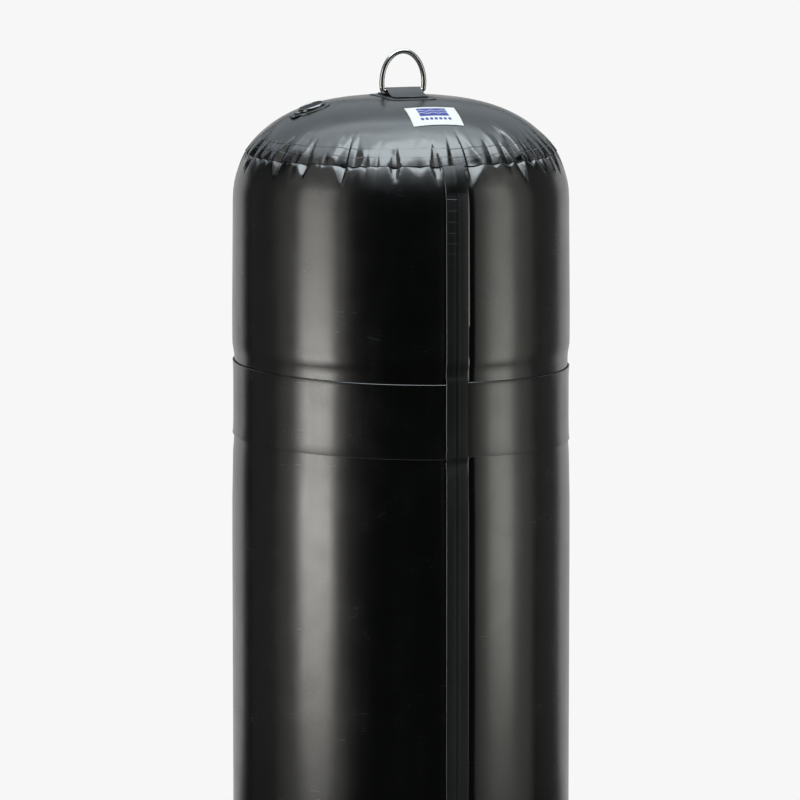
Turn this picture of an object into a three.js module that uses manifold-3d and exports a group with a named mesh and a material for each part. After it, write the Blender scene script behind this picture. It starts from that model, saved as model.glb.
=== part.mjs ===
// A tall pneumatic fender of black sheet, standing on one end, with a lifting ring and a valve on its top.
// Millimetres. Origin at the middle of the foot, +Z up. The long seam and the label face -Y, the valve is at -X.
import * as THREE from "three";
import Module from "manifold-3d";

const wasm = await Module();
wasm.setup();
const { Manifold, Mesh, CrossSection } = wasm;

// Body: a straight sleeve closed by two flat discs that blow up into domes.
const BODY_RADIUS = 225;
const BODY_LENGTH = 1500;
const FOOT_SINK = 2; // the bottom dome is pressed flat by this much where the fender stands
const SHEET = 1.1; // the discs' sheet
const GAP = 0.35; // air left between two sheets that are welded or glued together

// The lap where a disc is welded over the sleeve, and the gathers that its spare cloth makes.
const LAP_ARC = 230; // from the crown to the disc's edge, along the surface
const LAP_EDGE = 0.4; // half the height of the cut edge
const SWELL = 1.6; // how far the cloth between two gathers stands out
const SWELL_UP = 46;
const SWELL_DOWN = 30;
const SWELL_SPREAD = 6; // degrees from a valley to the full swelling
const TAPE_SPAN = 6.5; // degrees each side of the seam strip kept free of swelling
// Each gather: angle from -Y towards +X, spread to the left and right in degrees, depth, reach above the disc's edge
// and reach below it. The sharp valley is widest at the edge and runs to a point both ways.
const GATHERS = [
  [-108, 6, 3, 6, 42, 28],
  [-99, 6, 3, 5, 40, 27],
  [-90, 6, 3, 5, 38, 29],
  [-81, 3, 6, 4, 34, 20],
  [-69, 6, 6, 6, 48, 31],
  [-54, 9, 6, 6, 47, 23],
  [-39, 9, 3, 8, 48, 33],
  [-24, 6, 6, 4, 28, 27],
  [-15, 6, 3, 3, 28, 16],
  [-6, 6, 3, 4, 30, 25],
  [6, 3, 9, 5, 42, 34],
  [18, 3, 6, 5, 40, 22],
  [27, 6, 3, 5, 34, 33],
  [36, 6, 6, 6, 48, 31],
  [45, 3, 6, 4, 34, 30],
  [57, 6, 9, 6, 46, 31],
  [66, 3, 6, 5, 40, 24],
  [78, 6, 6, 6, 46, 30],
  [90, 3, 6, 5, 40, 26],
  [99, 6, 6, 7, 48, 32],
  [111, 6, 3, 5, 38, 28],
  [120, 3, 6, 4, 36, 22],
  [132, 9, 6, 7, 48, 32],
  [141, 3, 6, 5, 34, 24],
  [153, 6, 6, 6, 46, 30],
  [162, 3, 6, 4, 34, 22],
  [174, 6, 3, 6, 44, 31],
  [183, 6, 6, 5, 38, 26],
  [195, 6, 9, 7, 48, 33],
  [204, 3, 6, 4, 34, 22],
  [216, 6, 6, 6, 46, 30],
  [225, 6, 3, 5, 36, 26],
  [237, 6, 6, 7, 48, 32],
];

// Girth band welded round the sleeve, which draws it in a little.
const BAND_TOP = 356; // below the crown
const BAND_HEIGHT = 99;
const BAND_THICK = 1.2;
const BAND_PINCH = 1.6; // how far the sleeve is drawn in
const PINCH_MARGIN = 8; // full depth runs this far past the band
const PINCH_RAMP = 22;
const BAND_TILT = 5; // the left side of the band stands this much above its middle
const BAND_TILT_AT = -109; // the highest side, in degrees
const BAND_MISMATCH = -3; // its two ends do not meet level: the right one is higher
const BAND_END = 0.2; // half the space between its ends, in degrees

// Long seam strip and the short tabs over its two ends.
const STRIP_HALF = 15;
const STRIP_THICK = 1.2;
const STRIP_START = 1.4; // below the disc's edge
const TAB_LENGTH = 37;
const TAB_START = 1.2;
const STRIP_CELLS = 4;

// Lifting ring, the patch under it and the strap over its bar.
const RING_X = 2.7; // the ring sits a little off the middle
const RING_WIRE = 3.5; // radius
const RING_BAR_RISE = 7.1; // the bar's axis above the crown
const RING_HALF_WIDTH = 29.6;
const RING_HALF_HEIGHT = 42;
const RING_MIDDLE = 11; // the ring's widest place above the bar's axis
const RING_CORNER = 4.1;
const RING_SIDES = 12;
const RING_STATIONS = 34;
const PATCH_HALF_X = 33;
const PATCH_HALF_Y = 54;
const PATCH_CORNER = 14;
const PATCH_THICK = 1.2;
const STRAP_HALF_X = 24.4;
const STRAP_HALF_Y = 40;
const STRAP_THICK = 1.2;
const STRAP_FOOT = 13; // where the strap leaves the patch, from the bar
const STRAP_ARC_STEPS = 8;

// Label: its four corners seen from above, from the label's middle, first the two nearest the crown.
const LABEL_IN = 97; // from the sleeve's line in to the label's middle
const LABEL_OUT = BODY_RADIUS - LABEL_IN;
const LABEL_CORNERS = [
  [-30.5, 27],
  [38, 25.5],
  [34, -26.5],
  [-35, -25.5],
];
const LABEL_THICK = 0.3;

// Valve set, on an axis square to the dome.
const VALVE_IN = 100; // from the sleeve's line in to the valve's middle
const VALVE_R = BODY_RADIUS - VALVE_IN;
const CLEAR = 0.3; // between the valve's own pieces
const FLANGE_R = 25;
const FLANGE_LOW = -1.5;
const FLANGE_TOP = 0.5;
const LUG_END = 32;
const LUG_HALF = 9;
const COLLAR_R = 15.5;
const COLLAR_TOP = 1.5;
const BARREL_R = 13.5;
const BARREL_LOW = -13;
const SOCKET_R = 11.5;
const INSERT_R = SOCKET_R - CLEAR;
const INSERT_LOW = -14.2;
const INSERT_FLANGE_R = 13;
const INSERT_FLANGE_LOW = 2.4;
const INSERT_TOP = 3.1;
const THROAT_R = 8.5;
const SEAT_R = 6;
const SEAT_THICK = 2;
const GUIDE_TOP = -5.5;
const GUIDE_THICK = 2;
const GUIDE_HUB_R = 3.2;
const SPOKE_HALF = 1;
const STEM_R = 1.5;
const STEM_PLAY = 0.08;
const BUTTON_R = 4;
const BUTTON_LOW = 0.9;
const BUTTON_TOP = 2.9;
const STEM_TOP = 2.2;
const BUTTON_ROUND = 0.5;
const DISC_R = 7.6;
const DISC_THICK = 1.6;
const SEAL_THICK = 1.2;
const SPRING_R = 2.9;
const SPRING_WIRE = 0.3;
const SPRING_TURNS = 4;
const CAP_R = 18;
const CAP_SKIRT_LOW = 0.8;
const CAP_BORE = COLLAR_R + 0.35;
const CAP_CEILING = 4.2;
const CAP_TOP = 5.2;
const CAP_ROUND = 0.8;
const CAP_TAB_END = 25.5;
const CAP_TAB_HALF = 6;
const CAP_TAB_TOP = 2.4;
const ROUND = 40; // sides of the valve's round parts
const POCKET_DEPTH = 24;
const POCKET_PLAY = 0.4;

// Sides of the body's rings: few on the domes, more down the sleeve, most through the gathers.
const CROWN_SIDES = 30;
const BODY_SIDES = 60;
const FOLD_SIDES = 120;
const CROWN_ROWS = [0.105, 0.21, 0.315]; // parts of the disc's arc, from the crown
const DOME_ROWS = [0.39, 0.48, 0.565, 0.65, 0.73];
const FOLD_ROWS_ABOVE = [48, 34, 21, 10]; // mm from the disc's edge
const FOLD_ROWS_BELOW = [9, 19, 34];
const SLEEVE_ROWS = [0.47, 0.67]; // parts of the body's length, from the crown

const rad = THREE.MathUtils.degToRad;
const deg = THREE.MathUtils.radToDeg;
const HALF_TURN = 180;
const TURN = 360;
const ofDisc = (part) => part * LAP_ARC;
const above = (reach) => LAP_ARC - reach;
const below = (reach) => LAP_ARC + reach;

// Profile of a flat disc blown up tight. With t the slope of the surface, radius = R * sqrt(sin t).
const TABLE_STEPS = 400;
const endTable = [];
{
  let arc = 0;
  let drop = 0;
  let last = null;
  for (let i = 0; i <= TABLE_STEPS; i++) {
    const u = (Math.sqrt(Math.PI / 2) * i) / TABLE_STEPS;
    const slope = u * u;
    const root = Math.sqrt(Math.sin(slope));
    const dArc = i === 0 ? 2 : (2 * u) / root;
    const dDrop = 2 * u * root;
    if (last) {
      arc += ((BODY_RADIUS / 2) * (dArc + last.dArc) * (u - last.u)) / 2;
      drop += ((BODY_RADIUS / 2) * (dDrop + last.dDrop) * (u - last.u)) / 2;
    }
    endTable.push({ arc, drop, r: BODY_RADIUS * root, slope });
    last = { u, dArc, dDrop };
  }
}
const DOME_END = endTable[TABLE_STEPS];
const foldEnd = below(FOLD_ROWS_BELOW.at(-1));
const shoulderArcs = [(foldEnd + Math.max(DOME_END.arc, foldEnd + 2)) / 2, Math.max(DOME_END.arc, foldEnd + 2)];

// Looks up the profile by any of its columns: arc, drop or r.
function profileBy(column, value) {
  if (value >= DOME_END[column]) {
    const over = value - DOME_END[column];
    return { arc: DOME_END.arc + over, drop: DOME_END.drop + over, r: BODY_RADIUS, slope: Math.PI / 2 };
  }
  let i = 1;
  while (endTable[i][column] < value) i++;
  const a = endTable[i - 1];
  const b = endTable[i];
  const k = (value - a[column]) / (b[column] - a[column]);
  const mix = (name) => a[name] + (b[name] - a[name]) * k;
  return { arc: mix("arc"), drop: mix("drop"), r: mix("r"), slope: mix("slope") };
}

// How far the girth band draws the sleeve in, straight ramps either side.
function pinch(drop) {
  const past = Math.max(BAND_TOP - PINCH_MARGIN - drop, drop - BAND_TOP - BAND_HEIGHT - PINCH_MARGIN, 0);
  return BAND_PINCH * Math.max(0, 1 - past / PINCH_RAMP);
}

// Signed angle from one direction to another, within half a turn.
const aroundFrom = (angle, at) => ((((angle - at) % TURN) + TURN + HALF_TURN) % TURN) - HALF_TURN;

// Depth of the gathers at an arc length and an angle in degrees, less the swelling between them.
function gatherDepth(arc, angle) {
  let depth = 0;
  let nearest = HALF_TURN;
  for (const [at, left, right, most, up, down] of GATHERS) {
    const off = aroundFrom(angle, at);
    nearest = Math.min(nearest, Math.abs(off));
    const across = off < 0 ? -off / left : off / right;
    const along = arc < LAP_ARC ? (LAP_ARC - arc) / up : (arc - LAP_ARC) / down;
    depth = Math.max(depth, most * (1 - across - along));
  }
  const fromFront = Math.abs(aroundFrom(angle, 0));
  const fade = arc < LAP_ARC ? 1 - (LAP_ARC - arc) / SWELL_UP : 1 - (arc - LAP_ARC) / SWELL_DOWN;
  const swell = fromFront < TAPE_SPAN ? 0 : SWELL * Math.max(0, fade) * Math.min(1, nearest / SWELL_SPREAD);
  return depth - swell;
}

// A point of the body's surface, lifted along its normal, with that normal. angle is in degrees from -Y to +X.
function surface(arc, angle, { lift = 0, folds = false, bottom = false } = {}) {
  const p = profileBy("arc", arc);
  const out = lift - (folds ? gatherDepth(arc, bottom ? -angle : angle) : 0);
  const radius = p.r + out * Math.sin(p.slope) - (bottom ? 0 : pinch(p.drop));
  const rise = p.drop - out * Math.cos(p.slope);
  const z = bottom ? Math.max(0, rise - FOOT_SINK) : BODY_LENGTH - rise;
  const side = Math.sin(rad(angle));
  const front = -Math.cos(rad(angle));
  return {
    at: new THREE.Vector3(radius * side, radius * front, z),
    up: new THREE.Vector3(
      Math.sin(p.slope) * side,
      Math.sin(p.slope) * front,
      Math.cos(p.slope) * (bottom ? -1 : 1),
    ),
  };
}

// A point over the top dome at plan position x, y.
function overDome(x, y, lift) {
  const arc = profileBy("r", Math.hypot(x, y)).arc;
  return surface(arc, deg(Math.atan2(x, -y)), { lift });
}

// Closed geometry from points and triangles, turned to face out if it faces in.
function closed(points, triangles) {
  let volume = 0;
  for (const [a, b, c] of triangles)
    volume += points[a].dot(new THREE.Vector3().crossVectors(points[b], points[c]));
  const index = triangles.flatMap(([a, b, c]) => (volume < 0 ? [a, c, b] : [a, b, c]));
  const geometry = new THREE.BufferGeometry().setFromPoints(points);
  geometry.setIndex(index);
  geometry.computeVertexNormals();
  return geometry;
}

// A curved sheet: place(u, v) gives a point of its underside and the way up, for u and v from -1 to 1.
function sheet(across, along, thickness, place) {
  const points = [];
  for (let layer = 0; layer < 2; layer++)
    for (let j = 0; j <= along; j++)
      for (let i = 0; i <= across; i++) {
        const { at, up } = place((2 * i) / across - 1, (2 * j) / along - 1);
        points.push(at.clone().addScaledVector(up, layer * thickness));
      }
  const id = (layer, i, j) => (layer * (along + 1) + j) * (across + 1) + i;
  const triangles = [];
  const quad = (a, b, c, d) => triangles.push([a, b, c], [a, c, d]);
  for (let j = 0; j < along; j++)
    for (let i = 0; i < across; i++) {
      quad(id(0, i, j), id(0, i, j + 1), id(0, i + 1, j + 1), id(0, i + 1, j));
      quad(id(1, i, j), id(1, i + 1, j), id(1, i + 1, j + 1), id(1, i, j + 1));
    }
  for (let i = 0; i < across; i++) {
    quad(id(0, i, 0), id(0, i + 1, 0), id(1, i + 1, 0), id(1, i, 0));
    quad(id(0, i + 1, along), id(0, i, along), id(1, i, along), id(1, i + 1, along));
  }
  for (let j = 0; j < along; j++) {
    quad(id(0, 0, j + 1), id(0, 0, j), id(1, 0, j), id(1, 0, j + 1));
    quad(id(0, across, j), id(0, across, j + 1), id(1, across, j + 1), id(1, across, j));
  }
  return closed(points, triangles);
}

// Round wire swept along a path. rings is a list of {at, out, side}: a centre and the two directions of its circle.
function wire(rings, radius, sides, loop) {
  const points = [];
  for (const { at, out, side } of rings)
    for (let k = 0; k < sides; k++) {
      const turn = (2 * Math.PI * k) / sides;
      points.push(
        at
          .clone()
          .addScaledVector(out, radius * Math.cos(turn))
          .addScaledVector(side, radius * Math.sin(turn)),
      );
    }
  const triangles = [];
  const count = rings.length;
  for (let j = 0; j < (loop ? count : count - 1); j++)
    for (let k = 0; k < sides; k++) {
      const a = j * sides + k;
      const b = j * sides + ((k + 1) % sides);
      const c = ((j + 1) % count) * sides + ((k + 1) % sides);
      const d = ((j + 1) % count) * sides + k;
      triangles.push([a, b, c], [a, c, d]);
    }
  if (!loop)
    for (let k = 1; k < sides - 1; k++) {
      const last = (count - 1) * sides;
      triangles.push([0, k + 1, k], [last, last + k, last + k + 1]);
    }
  return closed(points, triangles);
}

function toSolid(geometry) {
  const mesh = new Mesh({
    numProp: 3,
    vertProperties: new Float32Array(geometry.getAttribute("position").array),
    triVerts: new Uint32Array(geometry.index.array),
  });
  return new Manifold(mesh);
}

function fromSolid(solid) {
  const mesh = solid.getMesh();
  const stride = mesh.numProp;
  const spots = new Float32Array(mesh.numVert * 3);
  for (let i = 0; i < mesh.numVert; i++)
    spots.set(mesh.vertProperties.subarray(i * stride, i * stride + 3), i * 3);
  const geometry = new THREE.BufferGeometry();
  geometry.setAttribute("position", new THREE.BufferAttribute(spots, 3));
  geometry.setIndex([...mesh.triVerts]);
  geometry.computeVertexNormals();
  return geometry;
}

// Inflated envelope: rows of points from the top crown to the foot, joined into one skin.
const rows = [];
const addRows = (arcs, sides, options) => {
  for (const arc of arcs) rows.push({ arc, sides, options });
};
const disc = { lift: SHEET, folds: true };
const plainDisc = { lift: SHEET };
const sleeve = { lift: 0, folds: true };
const fromCrown = (drop) => profileBy("drop", drop).arc;

const crownArcs = CROWN_ROWS.map(ofDisc);
const domeArcs = DOME_ROWS.map(ofDisc);
const discFolds = [...FOLD_ROWS_ABOVE, LAP_EDGE].map(above);
const sleeveFolds = [LAP_EDGE, ...FOLD_ROWS_BELOW].map(below);
const sleeveDrops = SLEEVE_ROWS.map((part) => part * BODY_LENGTH);

addRows(crownArcs, CROWN_SIDES, plainDisc);
addRows(domeArcs, BODY_SIDES, plainDisc);
addRows(discFolds, FOLD_SIDES, disc);
addRows(sleeveFolds, FOLD_SIDES, sleeve);
addRows(shoulderArcs, BODY_SIDES, {});
const PINCH_DROPS = [
  BAND_TOP - PINCH_MARGIN - PINCH_RAMP,
  BAND_TOP - PINCH_MARGIN,
  BAND_TOP + BAND_HEIGHT + PINCH_MARGIN,
  BAND_TOP + BAND_HEIGHT + PINCH_MARGIN + PINCH_RAMP,
];
addRows([...PINCH_DROPS, ...sleeveDrops].map(fromCrown), BODY_SIDES, {});
const under = (options) => ({ ...options, bottom: true });
addRows([...shoulderArcs].reverse(), BODY_SIDES, under({}));
addRows([...sleeveFolds].reverse(), FOLD_SIDES, under(sleeve));
addRows([...discFolds].reverse(), FOLD_SIDES, under(disc));
addRows([...domeArcs].reverse(), BODY_SIDES, under(plainDisc));
addRows([...crownArcs].reverse(), CROWN_SIDES, under(plainDisc));

function envelopeSkin() {
  const points = [];
  const starts = [];
  for (const { arc, sides, options } of rows) {
    starts.push(points.length);
    for (let k = 0; k < sides; k++) points.push(surface(arc, (TURN * k) / sides, options).at);
  }
  const triangles = [];
  for (let j = 0; j + 1 < rows.length; j++) {
    const a = rows[j].sides;
    const b = rows[j + 1].sides;
    const most = Math.max(a, b);
    const high = (k) => starts[j] + (Math.round((k * a) / most) % a);
    const low = (k) => starts[j + 1] + (Math.round((k * b) / most) % b);
    for (let k = 0; k < most; k++) {
      const corners = [high(k), low(k), low(k + 1), high(k + 1)];
      const [p, q, s, t] = corners;
      if (q !== s) triangles.push([p, q, s]);
      if (p !== t) triangles.push([p, s, t]);
    }
  }
  const last = rows.length - 1;
  const top = points.push(new THREE.Vector3(0, 0, BODY_LENGTH + SHEET)) - 1;
  const foot = points.push(new THREE.Vector3(0, 0, 0)) - 1;
  for (let k = 0; k < CROWN_SIDES; k++) {
    const next = (k + 1) % CROWN_SIDES;
    triangles.push([top, starts[0] + k, starts[0] + next]);
    triangles.push([foot, starts[last] + next, starts[last] + k]);
  }
  return closed(points, triangles);
}

// The valve's own frame: Z out of the dome, X down the slope away from the crown.
const valveSpot = overDome(-VALVE_R, 0, SHEET);
const valveZ = valveSpot.up.clone();
const valveX = new THREE.Vector3(-valveZ.z, 0, valveZ.x);
const valveY = new THREE.Vector3().crossVectors(valveZ, valveX);
const valveFrame = new THREE.Matrix4().makeBasis(valveX, valveY, valveZ).setPosition(valveSpot.at);

const turned = (profile) => Manifold.revolve([profile], ROUND);
const drum = (radius, low, high, sides = ROUND) =>
  Manifold.cylinder(high - low, radius, radius, sides).translate([0, 0, low]);
const block = (x0, x1, y0, y1, z0, z1) =>
  Manifold.cube([x1 - x0, y1 - y0, z1 - z0]).translate([x0, y0, z0]);

// Outline of the valve's flange: a disc with a lug on its outer side.
const lugOutline = CrossSection.circle(FLANGE_R, ROUND).add(
  CrossSection.square([LUG_END - LUG_HALF / 2, 2 * LUG_HALF])
    .translate([0, -LUG_HALF])
    .add(
      CrossSection.square([LUG_END, LUG_HALF]).translate([0, -LUG_HALF / 2]),
    )
    .hull(),
);

function valvePocket() {
  const seatForFlange = Manifold.extrude(lugOutline.offset(POCKET_PLAY, "Round"), POCKET_DEPTH).translate([
    0,
    0,
    FLANGE_LOW - POCKET_PLAY,
  ]);
  const well = drum(BARREL_R + POCKET_PLAY, -POCKET_DEPTH, 0);
  return seatForFlange.add(well).transform(valveFrame.elements);
}

const envelope = fromSolid(toSolid(envelopeSkin()).subtract(valvePocket()));

// Girth band, open behind the seam strip, following the sleeve's own sides.
function girthBand() {
  const stations = [BAND_END];
  const facet = TURN / BODY_SIDES;
  for (let k = 1; k < BODY_SIDES; k++) stations.push(facet * k);
  stations.push(TURN - BAND_END);
  return sheet(stations.length - 1, 1, BAND_THICK, (u, v) => {
    const angle = stations[Math.round(((u + 1) / 2) * (stations.length - 1))];
    const tilt = BAND_TILT * Math.cos(rad(angle - BAND_TILT_AT)) + BAND_MISMATCH * (angle / TURN - 0.5);
    const low = Math.floor(angle / facet) * facet;
    const half = facet / 2;
    const flat = angle % facet === 0 ? 1 : Math.cos(rad(half)) / Math.cos(rad(angle - low - half));
    const radius = (BODY_RADIUS - BAND_PINCH + GAP) * flat;
    const z = BODY_LENGTH - BAND_TOP - BAND_HEIGHT * ((1 - v) / 2) + tilt;
    const up = new THREE.Vector3(Math.sin(rad(angle)), -Math.cos(rad(angle)), 0);
    return { at: up.clone().multiplyScalar(radius).setZ(z), up };
  });
}

// A run of tape down the front: stations are {arc, bottom, lift}, from the top lap to the bottom one.
function frontTape(stations, thickness) {
  return sheet(STRIP_CELLS, stations.length - 1, thickness, (u, v) => {
    const { arc, bottom, lift } = stations[Math.round(((1 - v) / 2) * (stations.length - 1))];
    const { r } = profileBy("arc", arc);
    return surface(arc, deg(Math.asin((STRIP_HALF * u) / r)), { lift, bottom });
  });
}

const overBand = GAP + BAND_THICK + GAP;
const tapeArcs = [...FOLD_ROWS_BELOW.map(below), ...shoulderArcs];
const stripStations = [
  { arc: below(STRIP_START), bottom: false, lift: GAP },
  ...tapeArcs.map((arc) => ({ arc, bottom: false, lift: GAP })),
  { arc: fromCrown(PINCH_DROPS[0]), bottom: false, lift: GAP },
  { arc: fromCrown(PINCH_DROPS[1]), bottom: false, lift: overBand },
  { arc: fromCrown(PINCH_DROPS[2]), bottom: false, lift: overBand },
  { arc: fromCrown(PINCH_DROPS[3]), bottom: false, lift: GAP },
  ...sleeveDrops.map((drop) => ({ arc: fromCrown(drop), bottom: false, lift: GAP })),
  ...[...tapeArcs].reverse().map((arc) => ({ arc, bottom: true, lift: GAP })),
  { arc: below(STRIP_START), bottom: true, lift: GAP },
];

function seamTab(bottom) {
  const inner = FOLD_ROWS_BELOW.filter((reach) => reach < TAB_LENGTH);
  const arcs = [TAB_START, ...inner, TAB_START + TAB_LENGTH].map(below);
  const stations = arcs.map((arc) => ({ arc, bottom, lift: GAP + STRIP_THICK + GAP }));
  return frontTape(stations, SHEET);
}

// Base patch: a rectangle with round corners, laid over the crown.
function basePatch() {
  return sheet(8, 12, PATCH_THICK, (u, v) => {
    const y = PATCH_HALF_Y * Math.sin((v * Math.PI) / 2);
    const into = Math.max(0, Math.abs(y) - (PATCH_HALF_Y - PATCH_CORNER));
    const inset = PATCH_CORNER - Math.sqrt(Math.max(0, PATCH_CORNER ** 2 - into ** 2));
    return overDome(RING_X + u * (PATCH_HALF_X - inset), y, SHEET + GAP);
  });
}

// Strap: flat on the patch, up over the ring's bar and down again.
function ringStrap() {
  const low = SHEET + GAP + PATCH_THICK + GAP;
  const hug = RING_WIRE + GAP;
  const rise = RING_BAR_RISE + SHEET - low;
  const reach = Math.hypot(STRAP_FOOT, rise);
  const slope = Math.atan2(rise, STRAP_FOOT) + Math.asin(hug / reach);
  const path = [
    { y: -STRAP_HALF_Y, h: low, tilt: 0 },
    { y: -(STRAP_HALF_Y + STRAP_FOOT) / 2, h: low, tilt: 0 },
    { y: -STRAP_FOOT, h: low, tilt: slope / 2 },
  ];
  for (let k = 0; k <= STRAP_ARC_STEPS; k++) {
    const tilt = slope * (1 - (2 * k) / STRAP_ARC_STEPS);
    path.push({ y: -hug * Math.sin(tilt), h: RING_BAR_RISE + SHEET + hug * Math.cos(tilt), tilt });
  }
  for (const { y, h, tilt } of path.slice(0, 3).reverse()) path.push({ y: -y, h, tilt: -tilt });
  return sheet(6, path.length - 1, STRAP_THICK, (u, v) => {
    const { y, h, tilt } = path[Math.round(((v + 1) / 2) * (path.length - 1))];
    const x = RING_X + u * STRAP_HALF_X;
    const { drop } = profileBy("r", Math.hypot(x, y));
    return {
      at: new THREE.Vector3(x, y, BODY_LENGTH - drop + h),
      up: new THREE.Vector3(0, -Math.sin(tilt), Math.cos(tilt)),
    };
  });
}

// Lifting ring: a bar closed by a tall ellipse, bent from round wire.
function liftingRing() {
  const barEnd = RING_HALF_WIDTH * Math.sqrt(1 - (RING_MIDDLE / RING_HALF_HEIGHT) ** 2);
  const ellipse = (t) => new THREE.Vector2(RING_HALF_WIDTH * Math.cos(t), RING_MIDDLE + RING_HALF_HEIGHT * Math.sin(t));
  const startTurn = Math.asin((RING_CORNER * 0.9 - RING_MIDDLE) / RING_HALF_HEIGHT);
  const right = [new THREE.Vector2(barEnd / 2, 0), new THREE.Vector2(barEnd - RING_CORNER, 0)];
  const bend = new THREE.QuadraticBezierCurve(right[1], new THREE.Vector2(barEnd, 0), ellipse(startTurn));
  right.push(...bend.getPoints(5).slice(1));
  const steps = (RING_STATIONS - 10) / 2;
  for (let k = 1; k < steps; k++) right.push(ellipse(startTurn + ((Math.PI / 2 - startTurn) * k) / steps));
  const left = right.map((p) => new THREE.Vector2(-p.x, p.y)).reverse();
  const path = [...right, ellipse(Math.PI / 2), ...left];
  const centre = new THREE.Vector3(RING_X, 0, BODY_LENGTH + SHEET + RING_BAR_RISE);
  const rings = path.map((p, i) => {
    const before = path[(i + path.length - 1) % path.length];
    const after = path[(i + 1) % path.length];
    const run = after.clone().sub(before).normalize();
    return {
      at: new THREE.Vector3(p.x, 0, p.y).add(centre),
      out: new THREE.Vector3(run.y, 0, -run.x),
      side: new THREE.Vector3(0, 1, 0),
    };
  });
  return wire(rings, RING_WIRE, RING_SIDES, true);
}

function label() {
  const [a, b, c, d] = LABEL_CORNERS;
  const mix = (k, u, v) =>
    ((1 - v) / 2) * (a[k] * (1 - u) + b[k] * (1 + u)) * 0.5 + ((1 + v) / 2) * (d[k] * (1 - u) + c[k] * (1 + u)) * 0.5;
  return sheet(10, 8, LABEL_THICK, (u, v) => overDome(mix(0, u, v), mix(1, u, v) - LABEL_OUT, SHEET + GAP));
}

// Valve base: flange with a lug, collar above and barrel below, bored right through.
const valveBase = Manifold.extrude(lugOutline, FLANGE_TOP - FLANGE_LOW)
  .translate([0, 0, FLANGE_LOW])
  .add(drum(COLLAR_R, 0, COLLAR_TOP))
  .add(drum(BARREL_R, BARREL_LOW, 0))
  .subtract(drum(SOCKET_R, BARREL_LOW - 1, COLLAR_TOP + 1));

// Valve insert: a threaded plug with a throat, a seat at its foot and a three-spoked guide for the stem.
const insertShell = turned([
  [SEAT_R, INSERT_LOW],
  [INSERT_R, INSERT_LOW],
  [INSERT_R, INSERT_FLANGE_LOW],
  [INSERT_FLANGE_R, INSERT_FLANGE_LOW],
  [INSERT_FLANGE_R, INSERT_TOP],
  [THROAT_R, INSERT_TOP],
  [THROAT_R, INSERT_LOW + SEAT_THICK],
  [SEAT_R, INSERT_LOW + SEAT_THICK],
]);
const spokes = [0, 120, 240].map((turn) =>
  block(0, THROAT_R + 1, -SPOKE_HALF, SPOKE_HALF, GUIDE_TOP - GUIDE_THICK, GUIDE_TOP).rotate([0, 0, turn]),
);
const valveInsert = insertShell
  .add(Manifold.union([drum(GUIDE_HUB_R, GUIDE_TOP - GUIDE_THICK, GUIDE_TOP, 24), ...spokes]))
  .subtract(drum(STEM_R + STEM_PLAY, GUIDE_TOP - 2 * GUIDE_THICK, GUIDE_TOP + 1, 24));

// A flat ring from one radius to another and one height to another.
const washer = (inner, outer, low, high) =>
  turned([
    [inner, low],
    [outer, low],
    [outer, high],
    [inner, high],
  ]);
const insertSeal = washer(INSERT_R + 2 * CLEAR, INSERT_FLANGE_R, COLLAR_TOP + CLEAR, INSERT_FLANGE_LOW - CLEAR);

const sealTop = INSERT_LOW - CLEAR;
const sealLow = sealTop - SEAL_THICK;
const poppetSeal = washer(STEM_R + CLEAR, DISC_R, sealLow, sealTop);
const discTop = sealLow - CLEAR;
const poppet = turned([
  [0, discTop - DISC_THICK],
  [DISC_R, discTop - DISC_THICK],
  [DISC_R, discTop],
  [STEM_R, discTop],
  [STEM_R, STEM_TOP],
  [0, STEM_TOP],
]);
const button = turned([
  [STEM_R + CLEAR, BUTTON_LOW],
  [BUTTON_R, BUTTON_LOW],
  [BUTTON_R, BUTTON_TOP - BUTTON_ROUND],
  [BUTTON_R - BUTTON_ROUND, BUTTON_TOP],
  [0, BUTTON_TOP],
  [0, STEM_TOP + CLEAR],
  [STEM_R + CLEAR, STEM_TOP + CLEAR],
]);

function valveSpring() {
  const low = GUIDE_TOP + SPRING_WIRE + CLEAR;
  const high = BUTTON_LOW - SPRING_WIRE - CLEAR;
  const perTurn = 12;
  const steps = SPRING_TURNS * perTurn;
  const rings = [];
  for (let k = 0; k <= steps; k++) {
    const turn = (2 * Math.PI * k) / perTurn;
    rings.push({
      at: new THREE.Vector3(SPRING_R * Math.cos(turn), SPRING_R * Math.sin(turn), low + ((high - low) * k) / steps),
      out: new THREE.Vector3(Math.cos(turn), Math.sin(turn), 0),
      side: new THREE.Vector3(0, 0, 1),
    });
  }
  return wire(rings, SPRING_WIRE, 6, false);
}

// Cap: a shallow lid that snaps over the collar, with a pull tab towards the lug.
const valveCap = turned([
  [0, CAP_CEILING],
  [CAP_BORE, CAP_CEILING],
  [CAP_BORE, CAP_SKIRT_LOW],
  [CAP_R, CAP_SKIRT_LOW],
  [CAP_R, CAP_TOP - CAP_ROUND],
  [CAP_R - CAP_ROUND * 0.3, CAP_TOP - CAP_ROUND * 0.3],
  [CAP_R - CAP_ROUND, CAP_TOP],
  [0, CAP_TOP],
]).add(
  block(CAP_R - 0.5, CAP_TAB_END - 3, -CAP_TAB_HALF, CAP_TAB_HALF, CAP_SKIRT_LOW, CAP_TAB_TOP).add(
    Manifold.cylinder(CAP_TAB_TOP - CAP_SKIRT_LOW, CAP_TAB_HALF, CAP_TAB_HALF, 24)
      .scale([0.6, 1, 1])
      .translate([CAP_TAB_END - 3, 0, CAP_SKIRT_LOW]),
  ),
);
const capSeal = washer(THROAT_R + 4 * CLEAR, INSERT_FLANGE_R, INSERT_TOP + CLEAR, CAP_CEILING - CLEAR);

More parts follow.
